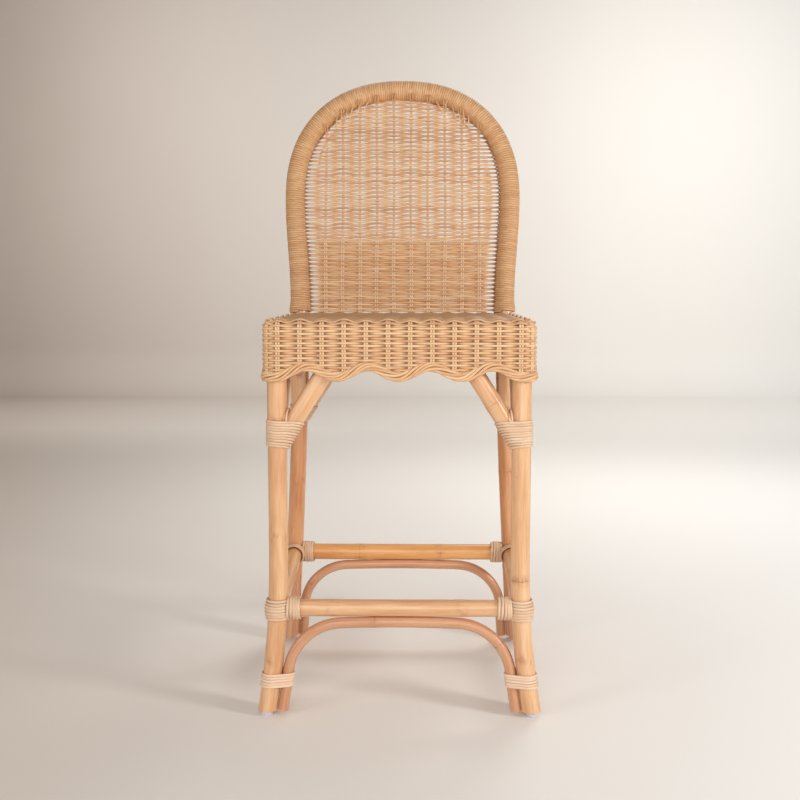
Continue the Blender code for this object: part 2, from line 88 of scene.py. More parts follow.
# Bands of cane: top, bottom, number of turns, and the cane's half width and half thickness.
FOOT_BAND = (0.0715, 0.0485, 5, 0.0024, 0.0013)
LEG_BAND = (0.1950, 0.1605, 7, 0.0026, 0.0014)
BRACE_BAND = {
    "front": (0.4895, 0.4465, 10, 0.0023, 0.0013),
    "rear": (0.4760, 0.4465, 7, 0.0023, 0.0013),
}
LEG_BAND_ARC = (72, 288)
LEG_BAND_SWELL = 0.0030
BRACE_BAND_TILT = 0.0035
BAND_STEPS = 48
TURN_WANDER = 0.0002
CANE_SQUARE = 0.75

# Cane wrapped round the ends of the stretchers.
WRAP_START = 0.0178
WRAP_PITCH = 0.0047
WRAP_TURNS = 5
WRAP_STEPS = 32
WRAP_LOOSE = 0.0030
WRAP_BULGE = 0.0012
WRAP_SLANT = 0.0008
WRAP_CANE = (0.0025, 0.0015)

# The cane loop between a front leg and its brace.
LOOP_LEVEL = 0.50
LOOP_BOTTOM = 0.4880
LOOP_RISE = 0.0225
LOOP_FORWARD = 0.0165
LOOP_INWARD = 0.0026
LOOP_CLEAR = 0.0002
LOOP_CANE = (0.0016, 0.0009)

# The seat's edge: each side's share of the way round is a straight run and then its corner.
EDGE_HALF_X = LEG_HALF_SPACING
EDGE_HALF_Y = (REAR_LEG_Y - FRONT_LEG_Y) / 2
EDGE_MIDDLE_Y = (REAR_LEG_Y + FRONT_LEG_Y) / 2
STRAIGHT_SHARE = 0.9
CORNER_SHARE = 0.1
CORNER_STAKE = 0.95

# Seat and skirt weave.
SEAT_TOP = 0.6565
SKIRT_OFFSET = 0.0203
SKIRT_BOTTOM = 0.5590
SKIRT_PAST_TOP = 0.0060
SKIRT_POINTS = 384
SKIRT_ABOVE_SCALLOP = 0.003
ROLL_RADIUS = 0.012
ROLL_ANGLES = (-0.25, 0.7)
ROW_PITCH = 0.0039
ROW_WOBBLE = 0.0003
FRONT_STAKES = 12
SIDE_STAKES = 11
SKIRT_STAKE_PITCH = 0.0354
SIDE_STAKE_PITCH = 0.0365
STAKE_STEP = 0.004
STAKE_BENDS_AT = 0.641
STAKE_ENDS_AT = 0.662
STAKE_APART = {"seat": 0.0020, "side": 0.0021}
STAKE_CANE = (0.0020, 0.0015)
STAKE_TONES = (1.1, 1.6)
WEAVE_LIFT = 0.0021
SEAT_LIFT = 0.0016
SEAT_EDGE = 0.012
SEAT_EDGE_DROP = 0.004
STRAND_HALF_WIDTH = 0.00220
STRAND_HALF_THICKNESS = 0.0016
BULGE_POWER = 0.25
TOP_ARCS = 0.0028
TOP_ARCS_MIDDLE = 0.6
# Painted shade on the weave: the seat top darkened all over and more in its dips, and how closely the skirt's
# painted shade keeps to the stakes.
SEAT_PAINTED_SHADE = 0.46
SEAT_DIP_PAINTED_SHADE = 0.4
SKIRT_PAINTED_SHADE_POWER = 2.2

# Braid along the scalloped edge.
BRAID_OFFSET = 0.0218
BRAID_MIDDLE = 0.572
BRAID_POINTS = 640
BRAID_STRANDS = 6
BRAID_TWIST = 0.120
BRAID_RISE = 0.0054
BRAID_DEPTH = 0.0022
BRAID_DRIFT = 0.0004
BRAID_CANE = (0.0026, 0.0022)
BRAID_CORE_RISE = 0.0030
BRAID_CORE = (0.0028, 0.0014)
SCALLOP_DEPTH = 0.0085
SCALLOPS_PER_SIDE = 4

# Back hoop and the cane wrapped round it.
HOOP_RADIUS = 0.016
HOOP_POLE_SHARE = 0.985
HOOP_FOOT_GAP = 0.0006
HOOP_WRAP_RADIUS = 0.0195
HOOP_LOW_HALF_SPACING = 0.1992
HOOP_WIDENS_FROM = 0.68
HOOP_ARC_RADIUS = 0.2095
HOOP_ARC_CENTRE = 0.8775
HOOP_ARC_POWER = 2.3
HOOP_ARC_POINTS = 181
HOOP_Y = 0.1673
HOOP_TILT_FROM = 0.651
HOOP_RAKE = math.radians(7.0)
BACK_OUT = np.array([0.0, -math.cos(HOOP_RAKE), math.sin(HOOP_RAKE)])
BACK_UP = np.array([0.0, math.sin(HOOP_RAKE), math.cos(HOOP_RAKE)])
HOOP_WRAP_GAP = 0.0004
HOOP_WRAP_PITCH = 0.0043
HOOP_WRAP_STEP = 0.001
HOOP_WRAP_STEPS = 24
HOOP_WRAP_LIFT = 0.0019
HOOP_WRAP_FLARE = (0.0022, 0.028)
HOOP_WRAP_WANDER = 0.00018
HOOP_WRAP_CANE = (0.00225, 0.0015)

# Woven panel of the back: close below, loose above, with its rows gathered beside the hoop.
PANEL_STAKES = 10
PANEL_STAKE_PITCH = 0.0332
PANEL_CLOSE_PITCH = 0.0041
PANEL_LOOSE_PITCH = 0.0038
PANEL_LOOSE_FROM = 0.797
PANEL_BLEND = 0.012
PANEL_FIRST_ROW = 0.0025
PANEL_INTO_HOOP = 0.005
PANEL_POINT_STEP = 0.0044
PANEL_LIFT = 0.0022
PANEL_SQUEEZE = 0.00175
PANEL_HALF_WIDTH = 0.00222
GATHER_REACH = 0.0195
GATHER_RAMP = 0.005
GATHER_UP = 0.00155
GATHER_OUT = 0.0013
GATHER_ENDS = (1.015, 1.045)
LOOP_BELOW_HOOP = 0.012
LOOP_OVER_HOOP = 0.0205
SHOULDER_ANGLES = (52, 56, 60, 64, 69, 74)
SHOULDER_CANE = (0.0014, 0.0012)

# Colours as 0 to 255.
NODE_STAIN = (172, 100, 60)
NODE_LINE = (122, 64, 38)
POLE_FLECK = (132, 76, 46)
# Brown painted into strands as shade, in their grooves and where they lie hidden.
STRAND_PAINTED_SHADE = (122, 68, 34)
DAYLIGHT = (1.0, 0.99, 0.98)

# Camera.
CAMERA_PLACE = (0.0277, -1.9987, 0.7133)
CAMERA_LENS = 49.82
CAMERA_DOWN = 6.03
CAMERA_TURN = 0.85


# ---------------- mesh building

class Strands:
    """Collects swept strands and turns them into one mesh that knows each strand's own run.

    Attributes: ring holds the cosine and sine round the strand and the length along it, tone is
    the strand's own shade of colour, knot the distance to a node and shade its painted shade where hidden.
    """

    def __init__(self):
        self.points = []
        self.quads = []
        self.ends = []
        self.ring = []
        self.values = {"tone": [], "knot": [], "shade": []}
        self.total = 0

    def add(self, centre, wide, thick, sides=8, closed=False, tone=0.5, knot=1.0, square=1.0,
            shade=0.0):
        """Sweep an oval along centre; wide and thick are its half axes at every point.

        A square value below 1 flattens the oval towards a rounded rectangle.
        """
        centre = np.asarray(centre, float)
        count = len(centre)
        wide = np.broadcast_to(np.asarray(wide, float), (count, 3))
        thick = np.broadcast_to(np.asarray(thick, float), (count, 3))
        angle = 2 * np.pi * (np.arange(sides) + 0.5) / sides
        across = np.sign(np.cos(angle)) * np.abs(np.cos(angle)) ** square
        through = np.sign(np.sin(angle)) * np.abs(np.sin(angle)) ** square
        ring = (
            centre[:, None, :]
            + across[None, :, None] * wide[:, None, :]
            + through[None, :, None] * thick[:, None, :]
        )
        self.points.append(ring.reshape(-1, 3))
        row = np.arange(count if closed else count - 1)[:, None] * sides
        next_row = (row + sides) % (count * sides)
        column = np.arange(sides)[None, :]
        next_column = (column + 1) % sides
        quads = np.stack([row + column, row + next_column, next_row + next_column, next_row + column],
                         axis=-1).reshape(-1, 4) + self.total
        order = -1 if np.dot(np.cross(wide[0], thick[0]), centre[1] - centre[0]) > 0 else 1
        self.quads.append(quads[:, ::order])
        if not closed:
            first = np.arange(sides) + self.total
            self.ends += [first[::order], (first + (count - 1) * sides)[::-order]]
        place = np.empty((count, sides, 3))
        place[:, :, 0] = np.cos(angle)[None, :]
        place[:, :, 1] = np.sin(angle)[None, :]
        place[:, :, 2] = run_length(centre)[:, None]
        self.ring.append(place.reshape(-1, 3))
        for label, value in (("tone", tone), ("knot", knot), ("shade", shade)):
            self.values[label].append(np.repeat(np.broadcast_to(value, count), sides))
        self.total += count * sides

    def build(self, name, look):
        points = np.concatenate(self.points)
        quads = np.concatenate(self.quads)
        corners = np.concatenate([quads.reshape(-1), *self.ends])
        sizes = [4] * len(quads) + [len(end) for end in self.ends]
        starts = np.concatenate([[0], np.cumsum(sizes)[:-1]])
        mesh = bpy.data.meshes.new(name)
        mesh.vertices.add(len(points))
        mesh.vertices.foreach_set("co", points.reshape(-1))
        mesh.loops.add(len(corners))
        mesh.loops.foreach_set("vertex_index", corners)
        mesh.polygons.add(len(starts))
        mesh.polygons.foreach_set("loop_start", starts)
        mesh.update(calc_edges=True)
        for label, values in self.values.items():
            layer = mesh.attributes.new(label, "FLOAT", "POINT")
            layer.data.foreach_set("value", np.concatenate(values))
        layer = mesh.attributes.new("ring", "FLOAT_VECTOR", "POINT")
        layer.data.foreach_set("vector", np.concatenate(self.ring).reshape(-1))
        mesh.shade_smooth()
        mesh.validate()
        mesh.materials.append(MATERIALS[look])
        item = bpy.data.objects.new(name, mesh)
        bpy.context.scene.collection.objects.link(item)
        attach(item, "root")
        return item


def place_piece(strands, name, look, sharp=None):
    """Make strands the looks of the CAD node of the same name; sharp is in degrees."""
    item = strands.build(name, look)
    if sharp:
        item.data.set_sharp_from_angle(angle=math.radians(sharp))
    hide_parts(name)


def unit(v):
    v = np.asarray(v, float)
    return v / np.linalg.norm(v, axis=-1, keepdims=True)


def tangents(points, closed=False):
    if closed:
        return unit(np.roll(points, -1, axis=0) - np.roll(points, 1, axis=0))
    return unit(np.gradient(points, axis=0))


def run_length(points):
    """The length along a line up to each of its points."""
    return np.concatenate([[0.0], np.cumsum(np.linalg.norm(np.diff(points, axis=0), axis=1))])


def resample(points, step):
    """The same line with points at an even step."""
    points = np.asarray(points, float)
    length = run_length(points)
    count = max(2, int(round(length[-1] / step)) + 1)
    at = np.linspace(0.0, length[-1], count)
    return np.stack([np.interp(at, length, points[:, i]) for i in range(3)], axis=1)


def softened(points, passes):
    """The same line with its bends eased; the ends stay."""
    points = np.array(points, float)
    for _ in range(passes):
        points[1:-1] = 0.25 * points[:-2] + 0.5 * points[1:-1] + 0.25 * points[2:]
    return points


def smoothstep(low, high, value):
    t = np.clip((value - low) / (high - low), 0.0, 1.0)
    return t * t * (3 - 2 * t)


def waver(rng, place, size, slow, fast):
    """A shallow wave along a strand, with a random length and start."""
    return size * np.sin(place * rng.uniform(slow, fast) + rng.uniform(0, 6.3))


# ---------------- pole centre lines

def leg_centre(end, side, height):
    """Centre line of a leg at heights above the floor, one row per height."""
    height = np.atleast_1d(np.asarray(height, float))
    half_spacing, depth, bend_height, power, splay_x, splay_y = LEG_LINES[end]
    bend = np.clip((bend_height - height) / bend_height, 0, None) ** power
    x = half_spacing + splay_x * bend
    return np.stack([SIDES[side] * x, depth + splay_y * bend, height], axis=1)


def inwards(end, side, way):
    if way == "across":
        return np.array([-SIDES[side], 0.0, 0.0])
    return np.array([0.0, 1.0 if end == "front" else -1.0, 0.0])


def neighbour(end, side, way):
    if way == "across":
        return end, "right" if side == "left" else "left"
    return "rear" if end == "front" else "front", side


def between(leg_a, leg_b, distance, height):
    """Points on the level line from leg a to leg b, at distances from leg a."""
    start = leg_centre(*leg_a, height)
    finish = leg_centre(*leg_b, height)
    return start + unit(finish - start) * np.reshape(distance, (-1, 1))


def brace_centre(end, side, way, height):
    height = np.atleast_1d(np.asarray(height, float))
    direction = inwards(end, side, way)
    foot = leg_centre(end, side, BRACE_MEETS_LEG)[0] + direction * LEG_RADIUS
    rise = LEG_TOP - BRACE_MEETS_LEG
    head = leg_centre(end, side, LEG_TOP)[0] + direction * (LEG_RADIUS + rise * BRACE_RUN)
    return foot + (head - foot) * ((height - BRACE_MEETS_LEG) / rise)[:, None]


def stretcher_runs():
    return (
        ("front", ("front", "left"), ("front", "right"), FOOTREST_RADIUS),
        ("rear", ("rear", "left"), ("rear", "right"), STRETCHER_RADIUS),
        ("left", ("front", "left"), ("rear", "left"), STRETCHER_RADIUS),
        ("right", ("front", "right"), ("rear", "right"), STRETCHER_RADIUS),
    )


# ---------------- poles

def add_pole(name, centre, radius, nodes_at, normal, rng, level=False, look="pole"):
    """A rattan pole: a round stem that swells a little at its nodes."""
    line = softened(resample(centre, POLE_STEP), 6)
    along = tangents(line)
    length = np.linspace(0.0, np.linalg.norm(np.diff(line, axis=0), axis=1).sum(), len(line))
    distance = np.full(len(line), 1.0)
    for spot in nodes_at:
        distance = np.minimum(distance, np.abs(length - spot * length[-1]))
    swell = 1 + NODE_SWELL[0] * np.exp(-(distance / NODE_SWELL[1]) ** 2)
    swell = swell - NODE_GROOVE[0] * np.exp(-(distance / NODE_GROOVE[1]) ** 2)
    spots = np.linspace(0, length[-1], WANDER_SPOTS)
    wander = np.interp(length, spots, rng.uniform(-POLE_WANDER, POLE_WANDER, WANDER_SPOTS))
    size = (radius * (POLE_SHARE + wander) * swell)[:, None]
    if level:
        wide = np.array([1.0, 0.0, 0.0]) * size
        thick = np.array([0.0, 1.0, 0.0]) * size
    else:
        side = unit(np.cross(along, normal))
        wide = side * size
        thick = unit(np.cross(along, side)) * size
    strands = Strands()
    strands.add(line, wide, thick, sides=32, tone=rng.uniform(), knot=distance)
    place_piece(strands, name, look, sharp=60)


def add_poles():
    rng = np.random.default_rng(11)
    heights = np.linspace(FOOT_BOTTOM, LEG_TOP, 120)
    for end, side in CORNERS:
        # The rear legs take a darker copy of the pole colours, as painted shade.
        look = "pole" if end == "front" else "pole_rear"
        add_pole(f"leg_{end}_{side}", leg_centre(end, side, heights), LEG_RADIUS, LEG_NODES[end, side],
                 None, rng, level=True, look=look)
    for where, leg_a, leg_b, radius in stretcher_runs():
        start = between(leg_a, leg_b, STRETCHER_START, STRETCHER_HEIGHT)[0]
        finish = between(leg_b, leg_a, STRETCHER_START, STRETCHER_HEIGHT)[0]
        name = "footrest" if where == "front" else f"stretcher_{where}"
        look = "pole" if where == "front" else "pole_golden"
        add_pole(name, [start, finish], radius, STRETCHER_NODES[where], (0, 0, 1), rng, look=look)
        crown = STRETCHER_HEIGHT - radius - GAP - ARCH_RADIUS
        line = np.vstack([arch_half(leg_a, leg_b, crown), arch_half(leg_b, leg_a, crown)[-2::-1]])
        across = (0, 1, 0) if where in ("front", "rear") else (1, 0, 0)
        add_pole(f"arch_{where}", line, ARCH_RADIUS, ARCH_NODES[where], across, rng, look="pole_arch")
    for end, side in CORNERS:
        for way in WAYS:
            line = brace_centre(end, side, way, BRACE_ENDS)
            across = (0, 1, 0) if way == "across" else (1, 0, 0)
            spots = BRACE_NODES[side if way == "across" else "along"]
            add_pole(f"brace_{way}_{end}_{side}", line, BRACE_RADIUS, spots, across, rng)


def arch_half(leg_a, leg_b, crown):
    """Half an arch: up beside the first leg, round the bend and on to the crown."""
    heights = np.linspace(FOOT_BOTTOM, ARCH_FOOT_TOP, 16)
    foot = between(leg_a, leg_b, np.full(len(heights), ARCH_BESIDE_LEG), heights)
    ends = leg_centre(*leg_a, STRETCHER_HEIGHT)[0] - leg_centre(*leg_b, STRETCHER_HEIGHT)[0]
    shoulder = crown - ARCH_CROWN_SAG
    angle = np.linspace(0, np.pi / 2, 25)[1:]
    distance = ARCH_BESIDE_LEG + ARCH_BEND_RUN * (1 - np.cos(angle))
    sag = ARCH_CROWN_SAG * (1 - np.cos(angle)) * 0.5
    height = ARCH_FOOT_TOP + (shoulder - ARCH_FOOT_TOP) * np.sin(angle) + sag
    start = ARCH_BESIDE_LEG + ARCH_BEND_RUN
    low = shoulder + ARCH_CROWN_SAG * 0.5
    t = np.linspace(0, 1, 20)[1:]
    crown_distance = start + (np.linalg.norm(ends) / 2 - start) * t
    crown_height = low + (crown - low) * np.sin(np.pi / 2 * t)
    return np.vstack([
        foot,
        between(leg_a, leg_b, distance, height),
        between(leg_a, leg_b, crown_distance, crown_height),
    ])


# ---------------- cane bindings

def hull_point(shapes, direction, grow):
    """The point of the hull round some level ovals that lies furthest in a direction."""
    best, where = -1e9, None
    for centre, axis, half_along, half_across in shapes:
        across = np.array([-axis[1], axis[0], 0.0])
        a, b = half_along + grow, half_across + grow
        c, s = direction @ axis, direction @ across
        scale = math.hypot(a * c, b * s)
        reach = direction @ centre + scale
        if reach > best:
            best = reach
            where = centre + axis * (a * a * c / scale) + across * (b * b * s / scale)
    return where


def wind(strands, shapes_at, band, rng, tilt=None, arc=None, swell=0.0):
    """Wind cane round poles down a band, in separate turns, or in arcs of a turn."""
    high, low, turns, half_width, half_thickness = band
    first, last = arc or (0.0, 2 * math.pi)
    for turn in range(turns):
        level = high + (low - high) * (turn + 0.5) / turns
        loose = half_thickness + swell * math.sin(math.pi * (turn + 0.5) / turns)
        centre, thick = [], []
        for i in range(BAND_STEPS + 1 if arc else BAND_STEPS):
            angle = first + (last - first) * i / BAND_STEPS
            direction = np.array([math.cos(angle), math.sin(angle), 0.0])
            z = level + (tilt(direction) if tilt else 0.0)
            point = hull_point(shapes_at(z), direction, loose)
            point[2] = z
            centre.append(point)
            thick.append(direction * half_thickness)
        centre = np.array(centre)
        centre[:, 2] += rng.uniform(-TURN_WANDER, TURN_WANDER)
        strands.add(centre, (0, 0, half_width), thick, sides=10, closed=not arc, tone=rng.uniform(),
                    square=CANE_SQUARE)


def leg_shapes(end, side, z):
    return [(leg_centre(end, side, z)[0], X_AXIS, LEG_RADIUS, LEG_RADIUS)]


def add_foot_bindings():
    rng = np.random.default_rng(21)
    for end, side in CORNERS:
        def shapes_at(z, end=end, side=side):
            shapes = leg_shapes(end, side, z)
            for way in WAYS:
                foot = between((end, side), neighbour(end, side, way), ARCH_BESIDE_LEG, z)[0]
                shapes.append((foot, X_AXIS, ARCH_RADIUS, ARCH_RADIUS))
            return shapes
        strands = Strands()
        wind(strands, shapes_at, FOOT_BAND, rng)
        place_piece(strands, f"foot_binding_{end}_{side}", "cane_pale")


def add_leg_bindings():
    rng = np.random.default_rng(22)
    for end, side in CORNERS:
        def shapes_at(z, end=end, side=side):
            return leg_shapes(end, side, z)
        inward = inwards(end, side, "across") + inwards(end, side, "along")
        middle = math.atan2(inward[1], inward[0])
        arc = [middle + math.radians(turn) for turn in LEG_BAND_ARC]
        strands = Strands()
        wind(strands, shapes_at, LEG_BAND, rng, arc=arc, swell=LEG_BAND_SWELL)
        place_piece(strands, f"leg_binding_{end}_{side}", "cane")


def add_stretcher_wraps():
    rng = np.random.default_rng(23)
    angle = 2 * np.pi * np.arange(WRAP_STEPS) / WRAP_STEPS
    for where, leg_a, leg_b, radius in stretcher_runs():
        for near, far in ((leg_a, leg_b), (leg_b, leg_a)):
            strands = Strands()
            for turn in range(WRAP_TURNS):
                spot = WRAP_START + WRAP_PITCH * turn
                loose = WRAP_LOOSE + WRAP_BULGE * math.sin(math.pi * (turn + 0.5) / WRAP_TURNS)
                centre = between(near, far, spot, STRETCHER_HEIGHT)[0]
                along = unit(between(near, far, 0.1, STRETCHER_HEIGHT)[0] - centre)
                side = unit(np.cross(along, (0, 0, 1)))
                radial = np.cos(angle)[:, None] * side + np.sin(angle)[:, None] * np.array([0, 0, 1.0])
                slant = WRAP_SLANT * np.sin(angle + turn)[:, None] * along
                ring = centre + radial * (radius + loose) + slant
                strands.add(ring, along * WRAP_CANE[0], radial * WRAP_CANE[1], sides=10, closed=True,
                            tone=rng.uniform(), square=CANE_SQUARE)
            place_piece(strands, f"wrap_{where}_at_{near[0]}_{near[1]}", "cane")


def add_brace_bindings():
    rng = np.random.default_rng(24)
    stretch = math.sqrt(1 + BRACE_RUN ** 2)
    for end, side in CORNERS:
        def shapes_at(z, end=end, side=side):
            shapes = leg_shapes(end, side, z)
            for way in WAYS:
                middle = brace_centre(end, side, way, z)[0]
                shapes.append((middle, inwards(end, side, way), BRACE_RADIUS * stretch, BRACE_RADIUS))
            return shapes
        inward = unit(inwards(end, side, "across") + inwards(end, side, "along"))
        strands = Strands()
        wind(strands, shapes_at, BRACE_BAND[end], rng,
             tilt=lambda direction, inward=inward: -BRACE_BAND_TILT * float(direction @ inward))
        if end == "front":
            add_crotch_loop(strands, end, side)
        place_piece(strands, f"brace_binding_{end}_{side}", "cane")


def add_crotch_loop(strands, end, side):
    """A cane that comes up out of the binding and passes between the leg and its brace."""
    x, y, _ = leg_centre(end, side, LOOP_LEVEL)[0]
    x = x - SIDES[side] * (LEG_RADIUS + LOOP_CLEAR)
    angle = np.linspace(0, np.pi, 17)
    forward = LOOP_FORWARD * np.cos(angle)
    up = LOOP_BOTTOM + LOOP_RISE * np.sin(angle) ** 0.6
    inward = SIDES[side] * -LOOP_INWARD * np.sin(angle)
    centre = np.column_stack([x + inward, y - forward, up])
    through = unit(np.cross(X_AXIS, tangents(centre)))
    strands.add(centre, X_AXIS * LOOP_CANE[0], through * LOOP_CANE[1], tone=1.0)


# ---------------- seat edge geometry

def edge_point(share, offset):
    """Points round the seat at an offset outside the leg lines, and their outward directions.

    share counts the sides: 0 to 1 is the front from left to right, then the right side and so on.
    """
    share = np.mod(np.asarray(share, float), 4.0)
    offset = np.broadcast_to(offset, share.shape)
    side = np.floor(share).astype(int)
    t = share - side
    straight = np.clip(t / STRAIGHT_SHARE, 0, 1)
    turn = np.clip((t - STRAIGHT_SHARE) / CORNER_SHARE, 0, 1) * np.pi / 2
    outward = np.array([[0, -1.0], [1.0, 0], [0, 1.0], [-1.0, 0]])[side]
    along = np.array([[1.0, 0], [0, 1.0], [-1.0, 0], [0, -1.0]])[side]
    distance = np.array([EDGE_HALF_Y, EDGE_HALF_X] * 2)[side]
    half = np.array([EDGE_HALF_X, EDGE_HALF_Y] * 2)[side]
    facing = outward * np.cos(turn)[:, None] + along * np.sin(turn)[:, None]
    place = outward * distance[:, None] + along * (half * (2 * straight - 1))[:, None]
    place = place + facing * offset[:, None]
    place[:, 1] += EDGE_MIDDLE_Y
    return place, facing


def scallop_height(share):
    phase = SCALLOPS_PER_SIDE * np.clip(np.mod(share, 1.0) / STRAIGHT_SHARE, 0, 1)
    return BRAID_MIDDLE - SCALLOP_DEPTH * np.cos(2 * np.pi * phase)


def stake_shares():
    """Where the pairs of stakes stand round the seat."""
    across = (np.arange(FRONT_STAKES) - (FRONT_STAKES - 1) / 2) * SKIRT_STAKE_PITCH
    along = (np.arange(SIDE_STAKES) - (SIDE_STAKES - 1) / 2) * SIDE_STAKE_PITCH
    front = STRAIGHT_SHARE * (across + EDGE_HALF_X) / (2 * EDGE_HALF_X)
    side = STRAIGHT_SHARE * (along + EDGE_HALF_Y) / (2 * EDGE_HALF_Y)
    return np.concatenate([i + np.append(stakes, CORNER_STAKE) for i, stakes in enumerate([front, side] * 2)])


def weave_phase(share):
    """Phase of the weave round the seat: a half turn from each pair of stakes to the next."""
    stakes = stake_shares()
    known = np.concatenate([stakes[-1:] - 4, stakes, stakes[:1] + 4])
    phase = np.pi * (np.arange(len(known)) - 0.5)
    return np.interp(np.mod(share, 4.0), known, phase)


def even_shares(count):
    """Shares at nearly even distances round the seat."""
    fine = np.linspace(0, 4, 4001)
    place, _ = edge_point(fine[:-1], SKIRT_OFFSET)
    gap = np.linalg.norm(np.roll(place, -1, axis=0) - place, axis=1)
    length = np.concatenate([[0.0], np.cumsum(gap)])
    return np.interp(np.linspace(0, length[-1], count, endpoint=False), length, fine)


def wall_section(level):
    """Offset and height of the weave's middle surface at a distance up from the wall's foot."""
    roll_from = SEAT_TOP - WEAVE_LIFT - STRAND_HALF_THICKNESS - ROLL_RADIUS
    angle = np.clip((level - roll_from) / ROLL_RADIUS, 0, np.pi / 2)
    offset = SKIRT_OFFSET - ROLL_RADIUS * (1 - np.cos(angle))
    height = np.minimum(level, roll_from) + ROLL_RADIUS * np.sin(angle)
    return offset, height, angle


def shaped(wave):
    """A wave that leaves the middle surface slowly and bulges over a pair of stakes."""
    return wave * np.abs(wave) ** BULGE_POWER


# ---------------- skirt, braid and seat

def add_skirt():
    rng = np.random.default_rng(31)
    strands = Strands()
    share = even_shares(SKIRT_POINTS)
    phase = weave_phase(share)
    level = SKIRT_BOTTOM
    row = 0
    while level < SEAT_TOP + SKIRT_PAST_TOP:
        offset, height, angle = wall_section(level)
        sign = 1 if row % 2 == 0 else -1
        wave = shaped(np.sin(phase)) * sign
        wobble = waver(rng, share, ROW_WOBBLE, 6, 12)
        rolled = float(smoothstep(*ROLL_ANGLES, angle))
        lift = WEAVE_LIFT * wave + TOP_ARCS * rolled * (np.sin(phase) ** 2 - TOP_ARCS_MIDDLE)
        place, facing = edge_point(share, offset + lift * math.cos(angle))
        z = height + lift * math.sin(angle) + wobble * math.cos(angle)
        centre = np.column_stack([place, z])
        up = np.column_stack([-facing * math.sin(angle), np.full(len(share), math.cos(angle))])
        out = np.column_stack([facing * math.cos(angle), np.full(len(share), math.sin(angle))])
        keep = height > scallop_height(share) + SKIRT_ABOVE_SCALLOP
        # Painted shade: each row is darkened where it passes to the back of a pair of stakes.
        hidden = np.clip(-np.sin(phase) * sign, 0, 1) ** SKIRT_PAINTED_SHADE_POWER
        add_runs(strands, centre, up * STRAND_HALF_WIDTH, out * STRAND_HALF_THICKNESS, keep, hidden, rng)
        level += ROW_PITCH
        row += 1
    add_side_stakes(strands, rng)
    place_piece(strands, "woven_skirt", "wicker")


def add_runs(strands, centre, wide, thick, keep, hidden, rng):
    """Add a closed row, or only its kept stretches."""
    # hidden is the painted shade along the row.
    tone = rng.uniform()
    if keep.all():
        strands.add(centre, wide, thick, closed=True, tone=tone, shade=hidden)
        return
    if not keep.any():
        return
    start = int(np.argmin(keep))
    run = []
    for i in [*np.roll(np.arange(len(keep)), -start), start]:
        if keep[i]:
            run.append(i)
            continue
        if len(run) > 2:
            strands.add(centre[run], wide[run], thick[run], tone=tone, shade=hidden[run])
        run = []


def stake_line(share, shift, top_reach):
    """A stake from the braid up the wall and over the edge, as centre, width and thickness axes."""
    low = float(scallop_height(np.array([share]))[0])
    levels = np.concatenate([
        np.arange(low, STAKE_BENDS_AT, STAKE_STEP),
        np.arange(STAKE_BENDS_AT, STAKE_ENDS_AT, STAKE_STEP / 2),
    ])
    offset, height, angle = wall_section(levels)
    place, facing = edge_point(np.full(len(levels), share), offset)
    along = np.column_stack([-facing[:, 1], facing[:, 0]])
    centre = np.column_stack([place + along * shift, height])
    out = np.column_stack([facing * np.cos(angle)[:, None], np.sin(angle)])
    side = np.column_stack([along, np.zeros(len(levels))])
    inner = centre[-1] - np.append(facing[-1], 0.0) * top_reach
    return np.vstack([centre, inner]), np.vstack([side, side[-1]]), np.vstack([out, out[-1]])


def add_side_stakes(strands, rng):
    """Pairs of stakes in the corners and side walls, tucked under the seat's edge."""
    for share in stake_shares():
        if int(share) % 2 == 0 and share % 1.0 < STRAIGHT_SHARE:
            continue
        for shift in (-STAKE_APART["side"], STAKE_APART["side"]):
            centre, side, out = stake_line(share, shift, SEAT_EDGE)
            centre[-1, 2] -= SEAT_EDGE_DROP
            strands.add(centre, side * STAKE_CANE[0], out * STAKE_CANE[1], tone=rng.uniform(*STAKE_TONES))


def add_seat():
    rng = np.random.default_rng(32)
    strands = Strands()
    flat = SKIRT_OFFSET - ROLL_RADIUS
    top = SEAT_TOP - SEAT_LIFT - STRAND_HALF_THICKNESS
    low_y = FRONT_LEG_Y - flat
    high_y = REAR_LEG_Y + flat
    rows = int(round((high_y - low_y) / ROW_PITCH))
    reach = EDGE_HALF_X + flat
    x = np.linspace(-reach, reach, 88)
    edge = smoothstep(reach - SEAT_EDGE, reach, np.abs(x))
    for row in range(1, rows):
        y = low_y + (high_y - low_y) * row / rows
        sign = 1 if row % 2 == 0 else -1
        wave = shaped(np.sin(np.pi * x / SKIRT_STAKE_PITCH)) * sign
        wobble = waver(rng, x, ROW_WOBBLE, 20, 50)
        z = top + SEAT_LIFT * wave * (1 - edge) - SEAT_EDGE_DROP * edge
        centre = np.column_stack([x, np.full(len(x), y) + wobble, z])
        # Painted shade: the whole seat top is darkened, and more where a row dips under a stake.
        strands.add(centre, (0, STRAND_HALF_WIDTH, 0), (0, 0, STRAND_HALF_THICKNESS), tone=rng.uniform(),
                    shade=SEAT_PAINTED_SHADE + SEAT_DIP_PAINTED_SHADE * np.clip(-wave, 0, 1) ** 2)
    for share in stake_shares():
        if share < STRAIGHT_SHARE:
            for shift in (-STAKE_APART["seat"], STAKE_APART["seat"]):
                add_seat_stake(strands, share, shift, rng.uniform(*STAKE_TONES))
    place_piece(strands, "woven_seat", "wicker")


